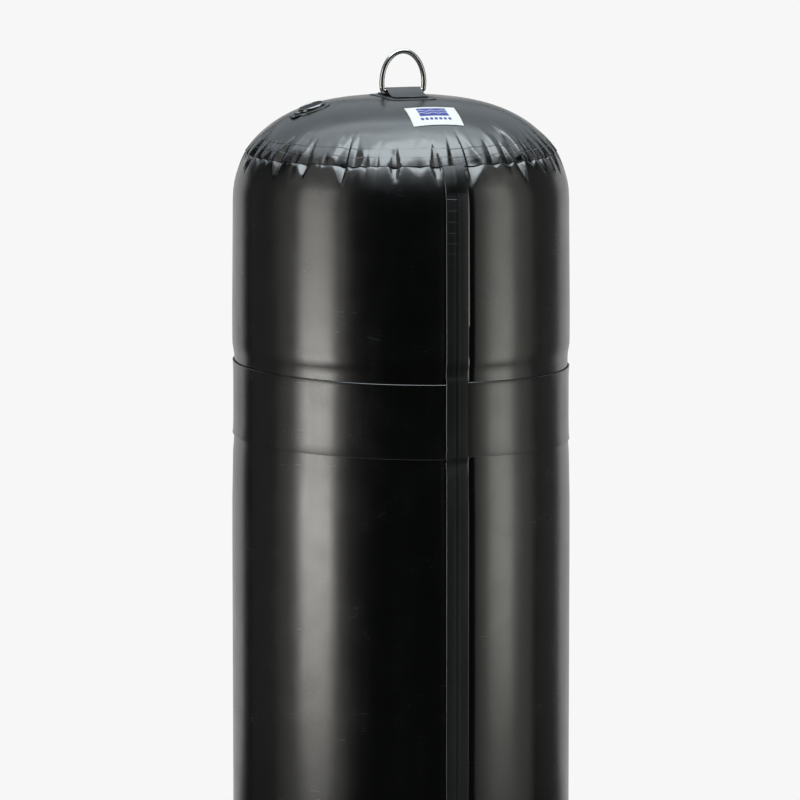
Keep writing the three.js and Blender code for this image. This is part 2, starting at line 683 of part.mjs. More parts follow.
const matte = (color, roughness, metalness = 0) => new THREE.MeshStandardMaterial({ color, roughness, metalness });
const sheetBlack = matte(0x17191b, 0.42);
const bandBlack = matte(0x1b1d1f, 0.5);
const softBlack = matte(0x121314, 0.35);
const hardBlack = matte(0x0e0f10, 0.25);
const sealGrey = matte(0x2a2c2e, 0.7);
const whiteFilm = matte(0xf2f4f6, 0.45);
const ringSteel = matte(0xb9bdbf, 0.22, 1);
const springSteel = matte(0xa4a8ab, 0.3, 1);

const group = new THREE.Group();
const put = (name, geometry, material, into = group) => {
  const mesh = new THREE.Mesh(geometry, material);
  mesh.name = name;
  into.add(mesh);
};

put("inflated_envelope", envelope, sheetBlack);
put("girth_band", girthBand(), bandBlack);
put("seam_strip", frontTape(stripStations, STRIP_THICK), bandBlack);
put("seam_tab_top", seamTab(false), bandBlack);
put("seam_tab_bottom", seamTab(true), bandBlack);
put("ring_base_patch", basePatch(), bandBlack);
put("ring_strap", ringStrap(), bandBlack);
put("lifting_ring", liftingRing(), ringSteel);
put("label", label(), whiteFilm);

const valve = new THREE.Group();
valve.applyMatrix4(valveFrame);
group.add(valve);
put("valve_base", fromSolid(valveBase), softBlack, valve);
put("valve_insert", fromSolid(valveInsert), hardBlack, valve);
put("valve_insert_seal", fromSolid(insertSeal), sealGrey, valve);
put("valve_poppet", fromSolid(poppet), hardBlack, valve);
put("valve_button", fromSolid(button), hardBlack, valve);
put("valve_poppet_seal", fromSolid(poppetSeal), sealGrey, valve);
put("valve_spring", valveSpring(), springSteel, valve);
put("valve_cap", fromSolid(valveCap), hardBlack, valve);
put("valve_cap_seal", fromSolid(capSeal), sealGrey, valve);

export default group;
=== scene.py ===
# %% [markdown]
# # A tall pneumatic fender
# A black inflated sleeve with two domed ends stands on one end. A wide tape goes round it, a narrow
# one runs down its front, and the top carries a wire ring, a label and a valve. Every shape here is
# made from the same few sizes as the solids, in metres. Each is a formula worked out over a whole
# grid of points at once, and every finished piece stands in for one solid and moves with its body.

# %% Load the solids
import math

import bmesh
import bpy
import numpy as np
from mathutils import Matrix, Vector


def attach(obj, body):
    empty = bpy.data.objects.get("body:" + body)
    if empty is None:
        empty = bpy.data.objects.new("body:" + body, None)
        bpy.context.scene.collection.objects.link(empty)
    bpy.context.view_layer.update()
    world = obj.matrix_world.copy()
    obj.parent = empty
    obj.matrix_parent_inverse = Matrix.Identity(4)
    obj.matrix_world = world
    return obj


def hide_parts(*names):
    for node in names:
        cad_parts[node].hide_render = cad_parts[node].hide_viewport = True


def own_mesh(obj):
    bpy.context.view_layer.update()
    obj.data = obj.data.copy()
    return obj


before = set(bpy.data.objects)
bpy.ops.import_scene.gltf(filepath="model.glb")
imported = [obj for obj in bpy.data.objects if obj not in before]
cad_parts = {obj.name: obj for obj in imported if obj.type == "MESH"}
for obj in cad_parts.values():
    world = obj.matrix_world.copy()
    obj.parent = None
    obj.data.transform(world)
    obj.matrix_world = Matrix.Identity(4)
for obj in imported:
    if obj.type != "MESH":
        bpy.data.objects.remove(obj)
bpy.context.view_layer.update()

# %% [markdown]
# ## Sizes
# They repeat the solids' sizes, so each piece lies where its solid does. Two welded sheets keep a
# small gap, because surfaces that share a place flicker in a render.

# %% Sizes in metres
MM = 0.001
RADIUS = 225 * MM
LENGTH = 1500 * MM
FOOT_SINK = 2 * MM
SHEET = 1.1 * MM
GAP = 0.35 * MM
LAP_ARC = 230 * MM
BAND_TOP, BAND_HEIGHT, BAND_THICK, BAND_PINCH = 356 * MM, 99 * MM, 1.2 * MM, 2.7 * MM
BULGE_ABOVE, BULGE_BELOW = 1.4 * MM, 2.3 * MM
PINCH_MARGIN, PINCH_RAMP = 8 * MM, 22 * MM
BAND_TILT, BAND_TILT_AT, BAND_MISMATCH = 5 * MM, -109.0, -3 * MM
STRIP_HALF, TAPE_THICK = 15 * MM, 1.2 * MM
RING_X, RING_WIRE, RING_BAR_RISE = 2.7 * MM, 3.5 * MM, 7.1 * MM
LABEL_OUT = 128 * MM
VALVE_R = 125 * MM
print("fender %.0f mm across and %.0f mm long" % (2 * RADIUS / MM, LENGTH / MM))

# %% [markdown]
# ## Where the spare cloth goes
# A flat disc has more cloth at its rim than a dome needs, so the real one gathers as it is welded
# to the sleeve. A cloth simulation would put the gathers anywhere. Here each one is a row: those in
# front are placed from the photo, and those behind carry on its rhythm.

# %% Gathers
# Each gather: angle from the front, width left and right in degrees, depth, reach above and below the
# disc's edge in millimetres, and how steep its left and right walls are.
GATHERS = np.array([
    (-106, 4, 3, 4, 42, 24, 0.4, 0.8), (-99, 2, 2, 1.6, 40, 9, 0.6, 0.5),
    (-91, 3.5, 2, 4.5, 52, 27, 0.4, 0.8),
    (-83, 3, 2.6, 1.8, 40, 10, 0.5, 0.4), (-77, 2, 2.2, 1.6, 22, 8, 0.5, 0.5),
    (-69, 4.4, 1.8, 5.2, 50, 27, 0.35, 0.8), (-61, 2, 2, 1.2, 30, 6, 0.5, 0.5),
    (-56, 4.6, 1.9, 5.0, 52, 23, 0.35, 0.8), (-48, 1.5, 1.5, 1.0, 22, 5, 0.6, 0.6),
    (-40, 3.6, 1.8, 5.8, 58, 30, 0.5, 0.9), (-37, 2.5, 5, 4.5, 62, 5, 0.5, 0.3),
    (-32, 2, 1.6, 1.8, 22, 5, 0.6, 0.6),
    (-28, 1.6, 1.4, 1.0, 44, 4, 0.5, 0.5), (-21, 2.6, 1.8, 4.4, 44, 27, 1.0, 1.2),
    (-14.5, 1.4, 1.4, 0.8, 40, 4, 0.4, 0.4), (-12.5, 4.5, 4, 1.6, 24, 17, 0.15, 0.15),
    (-6, 2.6, 2.0, 4.6, 44, 28, 1.0, 1.2), (0.8, 2.5, 7, 4.5, 62, 12, 0.5, 0.2),
    (3.6, 1.8, 3, 3.2, 58, 6, 0.7, 0.45),
    (5.7, 0.8, 6.4, 5.0, 70, 32, 1.0, 0.42), (10.6, 1.2, 1.2, 0.8, 34, 5, 0.4, 0.4),
    (17, 2.6, 2.2, 2.6, 50, 6, 0.5, 0.45), (24, 3, 1.8, 3, 46, 6, 0.45, 0.8),
    (30, 2.6, 2.4, 5.6, 58, 30, 0.6, 0.7), (37, 2.4, 2.6, 3.6, 50, 9, 0.6, 0.7),
    (43, 1.6, 2.4, 4.4, 54, 26, 0.9, 0.5), (49.5, 2.2, 2.2, 2.4, 58, 9, 0.7, 0.6),
    (56.5, 2.5, 3, 5.4, 58, 31, 0.6, 0.6), (66, 3, 4, 5, 40, 24, 0.6, 0.4), (78, 4, 4, 6, 46, 30, 0.5, 0.5),
    (90, 2.5, 4, 5, 40, 26, 0.7, 0.4), (99, 4, 3, 6, 48, 32, 0.4, 0.8), (111, 4, 2, 5, 38, 28, 0.4, 0.8),
    (120, 2, 4, 4, 36, 22, 0.8, 0.4), (132, 5, 3, 6, 48, 32, 0.4, 0.8), (141, 2, 4, 5, 34, 24, 0.8, 0.4),
    (153, 4, 4, 5.5, 46, 30, 0.5, 0.5), (162, 2, 4, 4, 34, 22, 0.8, 0.4), (174, 4, 2, 5.5, 44, 31, 0.4, 0.8),
    (183, 4, 4, 5, 38, 26, 0.5, 0.5), (195, 4, 5, 6, 48, 33, 0.6, 0.4), (204, 2, 4, 4, 34, 22, 0.8, 0.4),
    (216, 4, 4, 6, 46, 30, 0.5, 0.5), (225, 4, 2, 5, 36, 26, 0.4, 0.8), (237, 4, 4, 6, 48, 32, 0.5, 0.5),
])
print(len(GATHERS), "gathers, at most", GATHERS[:, 3].max(), "mm deep")

# %% [markdown]
# Between the gathers lie crumples too small to place by hand, and shallow dents. They are scattered
# by a seeded generator, so every run gives the same ones. The pleats in front are listed one by one
# and stand up as thin lines.

# %% Crumples, dimples and pleats
rng = np.random.default_rng(7)


def scattered(count, *ranges):
    """A table with a column for each range, filled with even random values."""
    return np.column_stack([rng.uniform(low, high, count) for low, high in ranges])


# The columns of the crumples are those of the gathers.
CRUMPLES = scattered(
    90, (-180, 180), (0.6, 1.6), (0.6, 1.6), (0.4, 1.1), (5, 14), (4, 11), (0.2, 0.5), (0.2, 0.5))
# Dimples: angle, arc from the crown, half width in millimetres and depth.
DIMPLES = scattered(150, (-180, 180), (184, 224), (4, 11), (0.15, 0.7))
# Pleats: angle and arc at three places, height in millimetres, or depth where it is below 0, and half width.
PLEATS = [
    ((-97, 166), (-90, 198), (-91, 222), 0.9, 1.5), ((-91, 222), (-93, 236), (-95, 252), 0.8, 1.5),
    ((-80, 190), (-79, 211), (-85, 232), 0.7, 1.4), ((62, 155), (59, 186), (52, 220), 0.8, 1.4),
    ((52, 220), (52, 236), (52, 255), 0.7, 1.4), ((61, 173), (61, 203), (62, 228), 0.6, 1.3),
    ((29, 160), (33, 203), (31, 228), 2.4, 6.0), ((20, 172), (21, 200), (21, 226), 1.4, 5.0),
    ((9, 165), (9, 195), (10, 226), 0.8, 7.0), ((-46, 170), (-45, 200), (-46, 226), 1.4, 6.0),
    ((-5, 196), (-5, 210), (-4, 228), 0.7, 0.9), ((-3, 200), (-3, 212), (-3, 226), 0.5, 0.8),
    ((-27, 186), (-27, 196), (-27, 212), -0.4, 3.0), ((-14, 186), (-14, 196), (-14, 212), -0.5, 3.0),
    ((-10, 182), (-9, 200), (-9, 229), -0.6, 4.0),
]
print(len(CRUMPLES), "crumples,", len(DIMPLES), "dimples,", len(PLEATS), "pleats")

# %% [markdown]
# ## The blown-up profile
# Two flat discs joined at the rim and blown up take one known shape. With t the slope of the
# surface, radius = R * sqrt(sin t), and a step dt covers R / (2 sqrt(sin t)) dt of the sheet.
# Writing t = u * u keeps the steps even at the crown. The real dome has this outline, so it is
# worked out rather than drawn: the places along it are summed once into tables, and every piece on
# the dome looks them up.

# %% Tables of the profile
u = np.linspace(0, math.sqrt(math.pi / 2), 4001)
slope_table = u * u
root = np.sqrt(np.sin(slope_table))
arc_rate = np.where(u > 0, 2 * u / np.maximum(root, 1e-9), 2.0)
drop_rate = 2 * u * root


def running_sum(rate):
    """Integral by trapezoids: sum of (rate before + rate after) / 2 * step."""
    return np.concatenate([[0], np.cumsum((rate[1:] + rate[:-1]) / 2 * np.diff(u))])


arc_table = RADIUS / 2 * running_sum(arc_rate)
drop_table = RADIUS / 2 * running_sum(drop_rate)
radius_table = RADIUS * root
ARC_END, DROP_END = arc_table[-1], drop_table[-1]


def profile(arc):
    """Radius, drop below the crown and slope at an arc length; past the dome, a straight wall."""
    arc = np.asarray(arc, float)
    over = np.maximum(arc - ARC_END, 0)
    return (np.interp(arc, arc_table, radius_table), np.interp(arc, arc_table, drop_table) + over,
            np.interp(arc, arc_table, slope_table))


def arc_at_radius(radius):
    """Arc length on the dome at a distance from the axis."""
    return np.interp(radius, radius_table, arc_table)


print("dome: arc %.1f mm, height %.1f mm" % (ARC_END / MM, DROP_END / MM))

# %% [markdown]
# ## Gathers as a shape
# A gather is a hollow with a tilted floor between two walls. Its floor is deepest at the disc's
# edge and rises to nothing up the dome and down the sleeve, while its width shrinks with it, which
# leaves the bright V-shaped facets of the photo. Displacement along the surface's normal does this,
# where a bump in the material would leave the outline smooth.

# %% Depth of the gathers
FRONT_AT, FRONT_SPAN, FRONT_SHARE = -8, 16, 0.85


def smooth_step(x):
    """0 to 1 with level ends: x * x * (3 - 2 x) on 0..1."""
    x = np.clip(x, 0, 1)
    return x * x * (3 - 2 * x)


def scoops(arc, angle, rows, soft):
    """Depth in metres of the deepest gather at each point, and the distance in degrees to the nearest one.
    With t = 1 - along, a gather is a tilted floor most * t between two walls: floor and walls meet at
    the smallest of most * t and wall slope * distance from the gather's border."""
    deep = np.zeros(np.broadcast(arc, angle).shape)
    near = np.full(deep.shape, 180.0)
    past = (arc - LAP_ARC) / MM
    degree = RADIUS * math.pi / 180
    for at, left, right, most, up, down, wall_left, wall_right in rows:
        off = (angle - at + 180) % 360 - 180
        near = np.minimum(near, np.abs(off))
        t = np.clip(1 - np.where(past < 0, -past / up, past / down), 0, 1)
        # In front the disc is pulled tighter than the sleeve below it, so its side of a gather is shallower.
        flatter = FRONT_SHARE if abs(at - FRONT_AT) < FRONT_SPAN else 1.0
        floor = most * MM * t * np.where(past < 0, flatter, 1.0)
        border_left = (left * t + off) * degree * wall_left
        border_right = (right * t - off) * degree * wall_right
        round_off = np.where(past < 0, 3 * soft, soft)
        depth = soft_least(soft_least(border_left, border_right, round_off), floor, round_off)
        deep = np.maximum(deep, np.maximum(depth, 0))
    return deep, near


def soft_least(a, b, soft):
    """The smaller of two values, with the corner rounded over a length soft: m = max(soft - |a - b|, 0),
    min(a, b) - m * m / (4 soft)."""
    m = np.maximum(soft - np.abs(a - b), 0)
    return np.minimum(a, b) - m * m / (4 * soft)


# %% [markdown]
# Pleats and dimples are bells: exp(-(distance / half width) ^ 2) is 1 in the middle and fades
# without an edge, so a few hundred of them add up to a surface that looks handled.

# %% Pleats, dimples and all the folds together
SWELL, SWELL_UP, SWELL_DOWN, SWELL_SPREAD = 1.2 * MM, 46, 30, 6
TAPE_SPAN = 4.5


def pleats(arc, angle):
    """Height of the pinched lines: a bell across each line, times a smooth rise from each of its ends."""
    high = np.zeros(np.broadcast(arc, angle).shape)
    for first, middle, last, height, half in PLEATS:
        route = np.array([first, middle, last])
        k = (arc / MM - route[0, 1]) / (route[2, 1] - route[0, 1])
        at = np.interp(arc / MM, route[:, 1], route[:, 0])
        off = ((angle - at + 180) % 360 - 180) * RADIUS / MM * math.pi / 180
        ends = smooth_step(k / 0.35) * smooth_step((1 - k) / 0.1)
        line = height * MM * np.exp(-(off / half) ** 2) * ends
        high = np.maximum(high, line) if height > 0 else high + line
    return high


def dimples(arc, angle):
    """Sum of round dents: depth * exp(-(distance / half width) ^ 2)."""
    deep = np.zeros(np.broadcast(arc, angle).shape)
    for at, place, half, depth in DIMPLES:
        side = ((angle - at + 180) % 360 - 180) * RADIUS / MM * math.pi / 180
        deep += depth * MM * np.exp(-(side / half) ** 2 - ((arc / MM - place) / (half * 1.3)) ** 2)
    return deep * smooth_step((LAP_ARC - arc) / (2 * MM))


def folds(arc, angle):
    """Inward depth: gathers + crumples + dimples - pleats - swelling. The cloth between gathers swells by
    SWELL * sqrt(distance to the nearest valley / SWELL_SPREAD), and lies smooth under the seam's tapes."""
    deep, near = scoops(arc, angle, GATHERS, 0.5 * MM)
    small, _ = scoops(arc, angle, CRUMPLES, 0.3 * MM)
    past = (arc - LAP_ARC) / MM
    fade = np.where(past < 0, 1 + past / SWELL_UP, 1 - past / SWELL_DOWN)
    front = np.abs((angle + 180) % 360 - 180)
    clear = smooth_step((front - TAPE_SPAN) / 2)
    swell = SWELL * smooth_step(fade) * np.sqrt(np.clip(near / SWELL_SPREAD, 0, 1)) * clear
    return deep + small * clear - swell - pleats(arc, angle) + dimples(arc, angle) * clear


# %% [markdown]
# ## The sleeve under pressure
# The air swells the straight sleeve by a millimetre or two, and the girth band holds it in. Both
# are small, but they bend the long reflections, which is what the eye reads on a black glossy
# cylinder.

# %% Pinch, bulge and the body's surface
BULGE_TOP_RAMP, BULGE_MIDDLE_RAMP, BULGE_FOOT_RAMP = 0.16, 0.25, 0.3


def pinch(drop):
    """How far the girth band draws the sleeve in, with ramps either side."""
    past = np.maximum(np.maximum(BAND_TOP - PINCH_MARGIN - drop,
                                 drop - BAND_TOP - BAND_HEIGHT - PINCH_MARGIN), 0)
    return BAND_PINCH * smooth_step(1 - past / PINCH_RAMP)


def bulge(drop):
    """The air swells the sleeve a little: none at the shoulders, more below the girth band than above it.
    It is a sum of two smooth steps, times a third that ends it above the bottom dome."""
    rise = smooth_step((drop - DROP_END) / BULGE_TOP_RAMP) * BULGE_ABOVE
    rise = rise + smooth_step((drop - BAND_TOP) / BULGE_MIDDLE_RAMP) * (BULGE_BELOW - BULGE_ABOVE)
    return rise * smooth_step((LENGTH - DROP_END - drop) / BULGE_FOOT_RAMP)


def body_point(arc, angle, lift=0.0, folded=False, bottom=False):
    """Points of the body's surface and their normals, for an arc from the crown and an angle from -Y to +X.
    With out = lift - folds: radius = profile radius + out * sin(slope) + bulge - pinch,
    height = length - drop + out * cos(slope). The bottom is the top turned over, flat at the foot."""
    arc, angle = np.broadcast_arrays(np.asarray(arc, float), np.asarray(angle, float))
    radius, drop, slope = profile(arc)
    out = lift - (folds(arc, -angle if bottom else angle) if folded else 0)
    r = radius + out * np.sin(slope) + (0 if bottom else bulge(drop) - pinch(drop))
    rise = drop - out * np.cos(slope)
    side, front = np.sin(np.radians(angle)), -np.cos(np.radians(angle))
    if bottom:
        z = np.maximum(rise - FOOT_SINK, 0)
    else:
        z = LENGTH - rise
    point = np.stack([r * side, r * front, z], -1)
    up = np.cos(slope) * (-1 if bottom else 1)
    normal = np.stack([np.sin(slope) * side, np.sin(slope) * front, up], -1)
    return point, normal


print("deepest fold in front: %.1f mm" % (folds(LAP_ARC, np.linspace(-60, 60, 481)).max() / MM))


# %% [markdown]
# ## Mesh helpers
# A mesh is filled from whole arrays with foreach_set, which is hundreds of times faster than adding
# faces one by one. Faces are smooth, and an edge sharper than a given angle stays crisp, so a cut
# edge reads as cut.

# %% Objects from arrays
def new_object(name, verts, quads, uvs=None, sharp=35):
    """An object from points and four-cornered faces, smooth but for edges sharper than the angle given."""
    mesh = bpy.data.meshes.new(name)
    verts = np.ascontiguousarray(verts, np.float32).reshape(-1, 3)
    quads = np.ascontiguousarray(quads, np.int32).reshape(-1, 4)
    mesh.vertices.add(len(verts))
    mesh.vertices.foreach_set("co", verts.ravel())
    mesh.loops.add(quads.size)
    mesh.loops.foreach_set("vertex_index", quads.ravel())
    mesh.polygons.add(len(quads))
    mesh.polygons.foreach_set("loop_start", np.arange(len(quads), dtype=np.int32) * 4)
    mesh.update(calc_edges=True)
    if uvs is not None:
        layer = mesh.uv_layers.new(name="run")
        corner_uvs = np.ascontiguousarray(uvs, np.float32).reshape(-1, 2)[quads.ravel()]
        layer.data.foreach_set("uv", corner_uvs.ravel())
    mesh.validate()
    mesh.polygons.foreach_set("use_smooth", np.ones(len(mesh.polygons), bool))
    mesh.set_sharp_from_angle(angle=math.radians(sharp))
    obj = bpy.data.objects.new(name, mesh)
    bpy.context.scene.collection.objects.link(obj)
    return obj


def grid_faces(rows, cols, loop):
    """Faces of a grid of rows by cols points; loop joins the last column to the first."""
    j = np.arange(rows - 1)[:, None]
    i = np.arange(cols if loop else cols - 1)[None, :]
    k = (i + 1) % cols
    return np.stack([j * cols + i, (j + 1) * cols + i, (j + 1) * cols + k, j * cols + k], -1).reshape(-1, 4)


# %% [markdown]
# Tapes, patches and the label are slabs: one grid of points laid on the sheet below, a second one
# lifted by the thickness, and a rim between them. The rim's edge is drawn in a little, because a
# cut edge that has been pressed and welded is never square, and the slope catches a thin line of
# light.

# %% Sheets with thickness
def slab(name, points, normals, thick, uv=None, edge=0.35, sharp=40):
    """A sheet with thickness and softly rounded rims, from a grid of underside points and its normals.
    The rim is drawn in by edge times the thickness at the top, as a cut and pressed sheet is."""
    rows, cols = points.shape[:2]
    middle = points + normals * thick * (1 - edge)
    top = points + normals * thick
    pull = edge * thick
    run_j = np.gradient(points, axis=0)
    run_i = np.gradient(points, axis=1)
    run_j /= np.linalg.norm(run_j, axis=-1, keepdims=True)
    run_i /= np.linalg.norm(run_i, axis=-1, keepdims=True)
    top[0] += run_j[0] * pull
    top[-1] -= run_j[-1] * pull
    top[:, 0] += run_i[:, 0] * pull
    top[:, -1] -= run_i[:, -1] * pull
    under = np.arange(rows * cols).reshape(rows, cols)
    over = under + rows * cols

    def rim_of(ids):
        return np.concatenate([ids[0, :-1], ids[:-1, -1], ids[-1, :0:-1], ids[:0:-1, 0]])

    rim = rim_of(under)
    mid_ids = 2 * rows * cols + np.arange(len(rim))
    verts = np.concatenate([points.reshape(-1, 3), top.reshape(-1, 3), middle.reshape(-1, 3)[rim]])
    face = grid_faces(rows, cols, False)
    nxt = np.roll(np.arange(len(rim)), -1)
    low = np.stack([rim, rim[nxt], mid_ids[nxt], mid_ids], -1)
    top_rim = rim_of(over)
    high = np.stack([mid_ids, mid_ids[nxt], top_rim[nxt], top_rim], -1)
    quads = np.concatenate([face[:, ::-1], face + rows * cols, low, high])
    if uv is not None:
        flat = uv.reshape(-1, 2)
        uv = np.concatenate([flat, flat, flat[rim]])
    return outward(new_object(name, verts, quads, uv, sharp))


# %% [markdown]
# A closed mesh must face outwards. The sign of its volume tells: each triangle and the origin span
# a small tetrahedron, and their signed volumes add up to a negative number when the mesh is inside
# out.

# %% Facing, turning and welding
def outward(obj):
    """Turns the faces round if the closed mesh holds a negative volume: sum of a . (b x c) / 6."""
    mesh = obj.data
    mesh.calc_loop_triangles()
    tri = np.empty(len(mesh.loop_triangles) * 3, np.int32)
    mesh.loop_triangles.foreach_get("vertices", tri)
    co = np.empty(len(mesh.vertices) * 3, np.float32)
    mesh.vertices.foreach_get("co", co)
    a, b, c = co.reshape(-1, 3)[tri.reshape(-1, 3)].transpose(1, 0, 2)
    if np.einsum("ij,ij->i", a, np.cross(b, c)).sum() < 0:
        mesh.flip_normals()
    return obj


def lathe(name, outline, place, sides=96, sharp=30):
    """A turned piece: a closed outline of (radius, height) in mm spun about its axis, then put in place."""
    pts = np.array(outline, float) * MM
    turn = np.linspace(0, 2 * math.pi, sides, endpoint=False)
    rows = len(pts)
    verts = np.stack([np.outer(pts[:, 0], np.cos(turn)), np.outer(pts[:, 0], np.sin(turn)),
                      np.repeat(pts[:, 1:], sides, 1)], -1).reshape(-1, 3)
    quads = grid_faces(rows + 1, sides, True) % (rows * sides)
    obj = new_object(name, placed(place, verts), quads, None, sharp)
    weld(obj)
    return outward(obj)


def placed(place, verts):
    """Points moved by a frame: place * (x, y, z, 1)."""
    m = np.array(place)
    return verts @ m[:3, :3].T + m[:3, 3]


def weld(obj):
    """Joins points closer than a hundredth of a millimetre, which closes a turned piece on its axis."""
    bm = bmesh.new()
    bm.from_mesh(obj.data)
    bmesh.ops.remove_doubles(bm, verts=bm.verts, dist=1e-5)
    bmesh.ops.dissolve_degenerate(bm, dist=1e-6, edges=bm.edges)
    bm.to_mesh(obj.data)
    bm.free()


# %% [markdown]
# ## Envelope
# The sleeve and the two discs are welded into one airtight bag, so they are one surface here. Rows
# of points run from the crown to the foot: close together through the gathers, wider elsewhere. The
# disc's cut edge is a step of one sheet's thickness. Formulas take the place of a cloth simulation:
# they give the dome its true outline and put each gather where the photo has it.

# %% Rows of points
COLUMNS = 540
FINE_TOP, FINE_SHOULDER, COARSE_SHOULDER, COARSE_BOTTOM = 2.3, 2.2, 3.2, 3.4
angles = np.arange(COLUMNS) * 360 / COLUMNS


def dome_rows(fine):
    """Arc lengths from the crown to the disc's edge, fine through the gathers."""
    return np.concatenate([np.linspace(0.6, 176, 15), np.arange(180, 229.5, fine), [229.75]]) * MM


def shoulder_rows(fine):
    """Arc lengths from the disc's edge to the sleeve's straight wall."""
    return np.concatenate([[230.25], np.arange(232, 268, fine), [274, 283, 295]]) * MM


def sleeve_rows():
    """Arc lengths down the straight wall, closest where the girth band draws it in."""
    drop = np.concatenate([np.arange(305, 480, 7), np.linspace(500, 1200, 12), np.linspace(1230, 1385, 4)])
    return drop * MM + (ARC_END - DROP_END) - 24 * MM


print(len(dome_rows(FINE_TOP)), "rows on the dome,", len(sleeve_rows()), "down the wall")

# %% [markdown]
# The long seam's tape stands on the sleeve and pulls it in along both of its sides, so a crease
# runs down each one, deeper on the right. It shows as a thin dark line in the photo.

# %% Creases beside the seam, and the two ends
def seam_creases(points, angle):
    """Depth: a bell in degrees just past each side of the tape, 2.6 mm deep right and 0.7 mm left."""
    reach = np.hypot(points[..., 0], points[..., 1])
    width = np.degrees(np.arcsin(np.clip(STRIP_HALF / reach.clip(1e-6), 0, 1)))
    right = 2.6 * np.exp(-((angle - width - 0.6) / 0.7) ** 2)
    left = 0.7 * np.exp(-((angle + width + 0.5) / 0.6) ** 2)
    return (right + left) * MM


def end_faces(rows):
    """Fans of four-cornered faces that close the ends on two single points, the last of all."""
    crown = rows * COLUMNS
    last = crown - COLUMNS
    i = np.arange(0, COLUMNS, 2)
    one, two = (i + 1) % COLUMNS, (i + 2) % COLUMNS
    top = np.stack([np.full_like(i, crown), i, one, two], -1)
    foot = np.stack([np.full_like(i, crown + 1), last + two, last + one, last + i], -1)
    return np.concatenate([top, foot])


# %% Envelope
def envelope():
    """All the rows stacked into one closed skin. Its map is the turn across and the distance down."""
    runs = (
        (dome_rows(FINE_TOP), {"lift": SHEET, "folded": True}),
        (shoulder_rows(FINE_SHOULDER), {"folded": True}),
        (sleeve_rows(), {}),
        (shoulder_rows(COARSE_SHOULDER)[::-1], {"folded": True, "bottom": True}),
        (dome_rows(COARSE_BOTTOM)[::-1], {"lift": SHEET, "folded": True, "bottom": True}),
    )
    points = np.concatenate([body_point(arcs[:, None], angles[None, :], **how)[0] for arcs, how in runs])
    rows = len(points)
    off = (angles[None, :] + 180) % 360 - 180
    creases = seam_creases(points, off)
    creases[:len(runs[0][0])] = 0
    creases[-len(runs[-1][0]):] = 0
    reach = np.hypot(points[..., 0], points[..., 1])
    points[..., :2] *= (1 - creases / reach.clip(1e-3))[..., None]
    verts = np.concatenate([points.reshape(-1, 3), [[0, 0, LENGTH + SHEET], [0, 0, 0]]])
    quads = np.concatenate([grid_faces(rows, COLUMNS, True), end_faces(rows)])
    down = np.concatenate([2 - arcs if how.get("bottom") else arcs for arcs, how in runs])
    uv = np.stack(np.broadcast_arrays((off + 180) / 360, down[:, None]), -1).reshape(-1, 2)
    uv = np.concatenate([uv, [[0.5, 0], [0.5, 2]]])
    return outward(new_object("envelope", verts, quads, uv, 42))


body = envelope()
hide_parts("inflated_envelope")
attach(body, "fender")
print("envelope", len(body.data.polygons) * 2, "triangles")

# %% [markdown]
# ## Girth band
# A wide welded tape covers the joint between two widths of cloth. It was laid by hand: one side
# stands higher, and its ends don't meet level at the long seam. It is a cylinder's grid with a
# tilt, not a bump, so its edges show.

# %% Girth band
def girth_band():
    """A cylinder's wall, tilted by BAND_TILT * cos(angle - BAND_TILT_AT) + BAND_MISMATCH * (share - 0.5)."""
    around = np.concatenate([[0.2], np.linspace(1, 359, 479), [359.8]])
    tall = np.array([0, 0.012, 0.05, 0.15, 0.3, 0.5, 0.7, 0.85, 0.95, 0.988, 1.0])
    tilt = BAND_TILT * np.cos(np.radians(around - BAND_TILT_AT)) + BAND_MISMATCH * (around / 360 - 0.5)
    z = LENGTH - BAND_TOP - BAND_HEIGHT * tall[:, None] + tilt[None, :]
    # The band's own edges curl out a hair where the cloth below swells round them.
    curl = 1.0 * MM * (np.exp(-tall / 0.05) + np.exp(-(1 - tall) / 0.05))[:, None]
    r = RADIUS + bulge(LENGTH - z) - BAND_PINCH + GAP + curl
    a = np.radians(around)[None, :]
    point = np.stack(np.broadcast_arrays(r * np.sin(a), -r * np.cos(a), z), -1)
    normal = np.stack(np.broadcast_arrays(np.sin(a), -np.cos(a), 0 * z), -1)
    uv = np.stack(np.broadcast_arrays(around[None, :] / 360, tall[:, None]), -1)
    return slab("girth_band_tape", point, normal, BAND_THICK, uv)


# %% [markdown]
# ## Seam strip and tabs
# A narrow tape covers the long seam in front, and a short tab covers each of its ends. The tape is
# laid station by station along the arc. Where it crosses the girth band it climbs, and a smooth
# step makes it bridge the corner as stiff tape does.

# %% Tapes down the front
def front_tape(name, arcs, lifts, bottoms, thick, cells=22):
    """A tape down the front. arcs, lifts and bottoms give each station from the top lap to the bottom one.
    The seam underneath shows as a low ridge and a shallow dip beside it, each a bell across the tape."""
    across = np.linspace(-1, 1, cells + 1)
    across = np.sin(across * math.pi / 2) * 0.35 + across * 0.65
    points, normals = [], []
    off = across * STRIP_HALF / MM
    ridge = 0.25 * np.exp(-((off - 0.8) / 1.3) ** 2) - 0.22 * np.exp(-((off + 1.6) / 1.2) ** 2)
    ridge = np.maximum(ridge, -0.2) * MM
    for arc, lift, bottom in zip(arcs, lifts, bottoms):
        radius, _, _ = profile(arc)
        angle = np.degrees(np.arcsin(across * STRIP_HALF / radius))
        p, n = body_point(np.full_like(angle, arc), angle, lift=lift, bottom=bottom)
        points.append(p + n * ridge[:, None])
        normals.append(n)
    points, normals = np.stack(points), np.stack(normals)
    steps = np.linalg.norm(np.diff(points[:, cells // 2], axis=0), axis=1)
    length = np.concatenate([[0], np.cumsum(steps)])
    uv = np.stack(np.broadcast_arrays((across[None, :] + 1) / 2, length[:, None]), -1)
    return slab(name, points, normals, thick, uv)


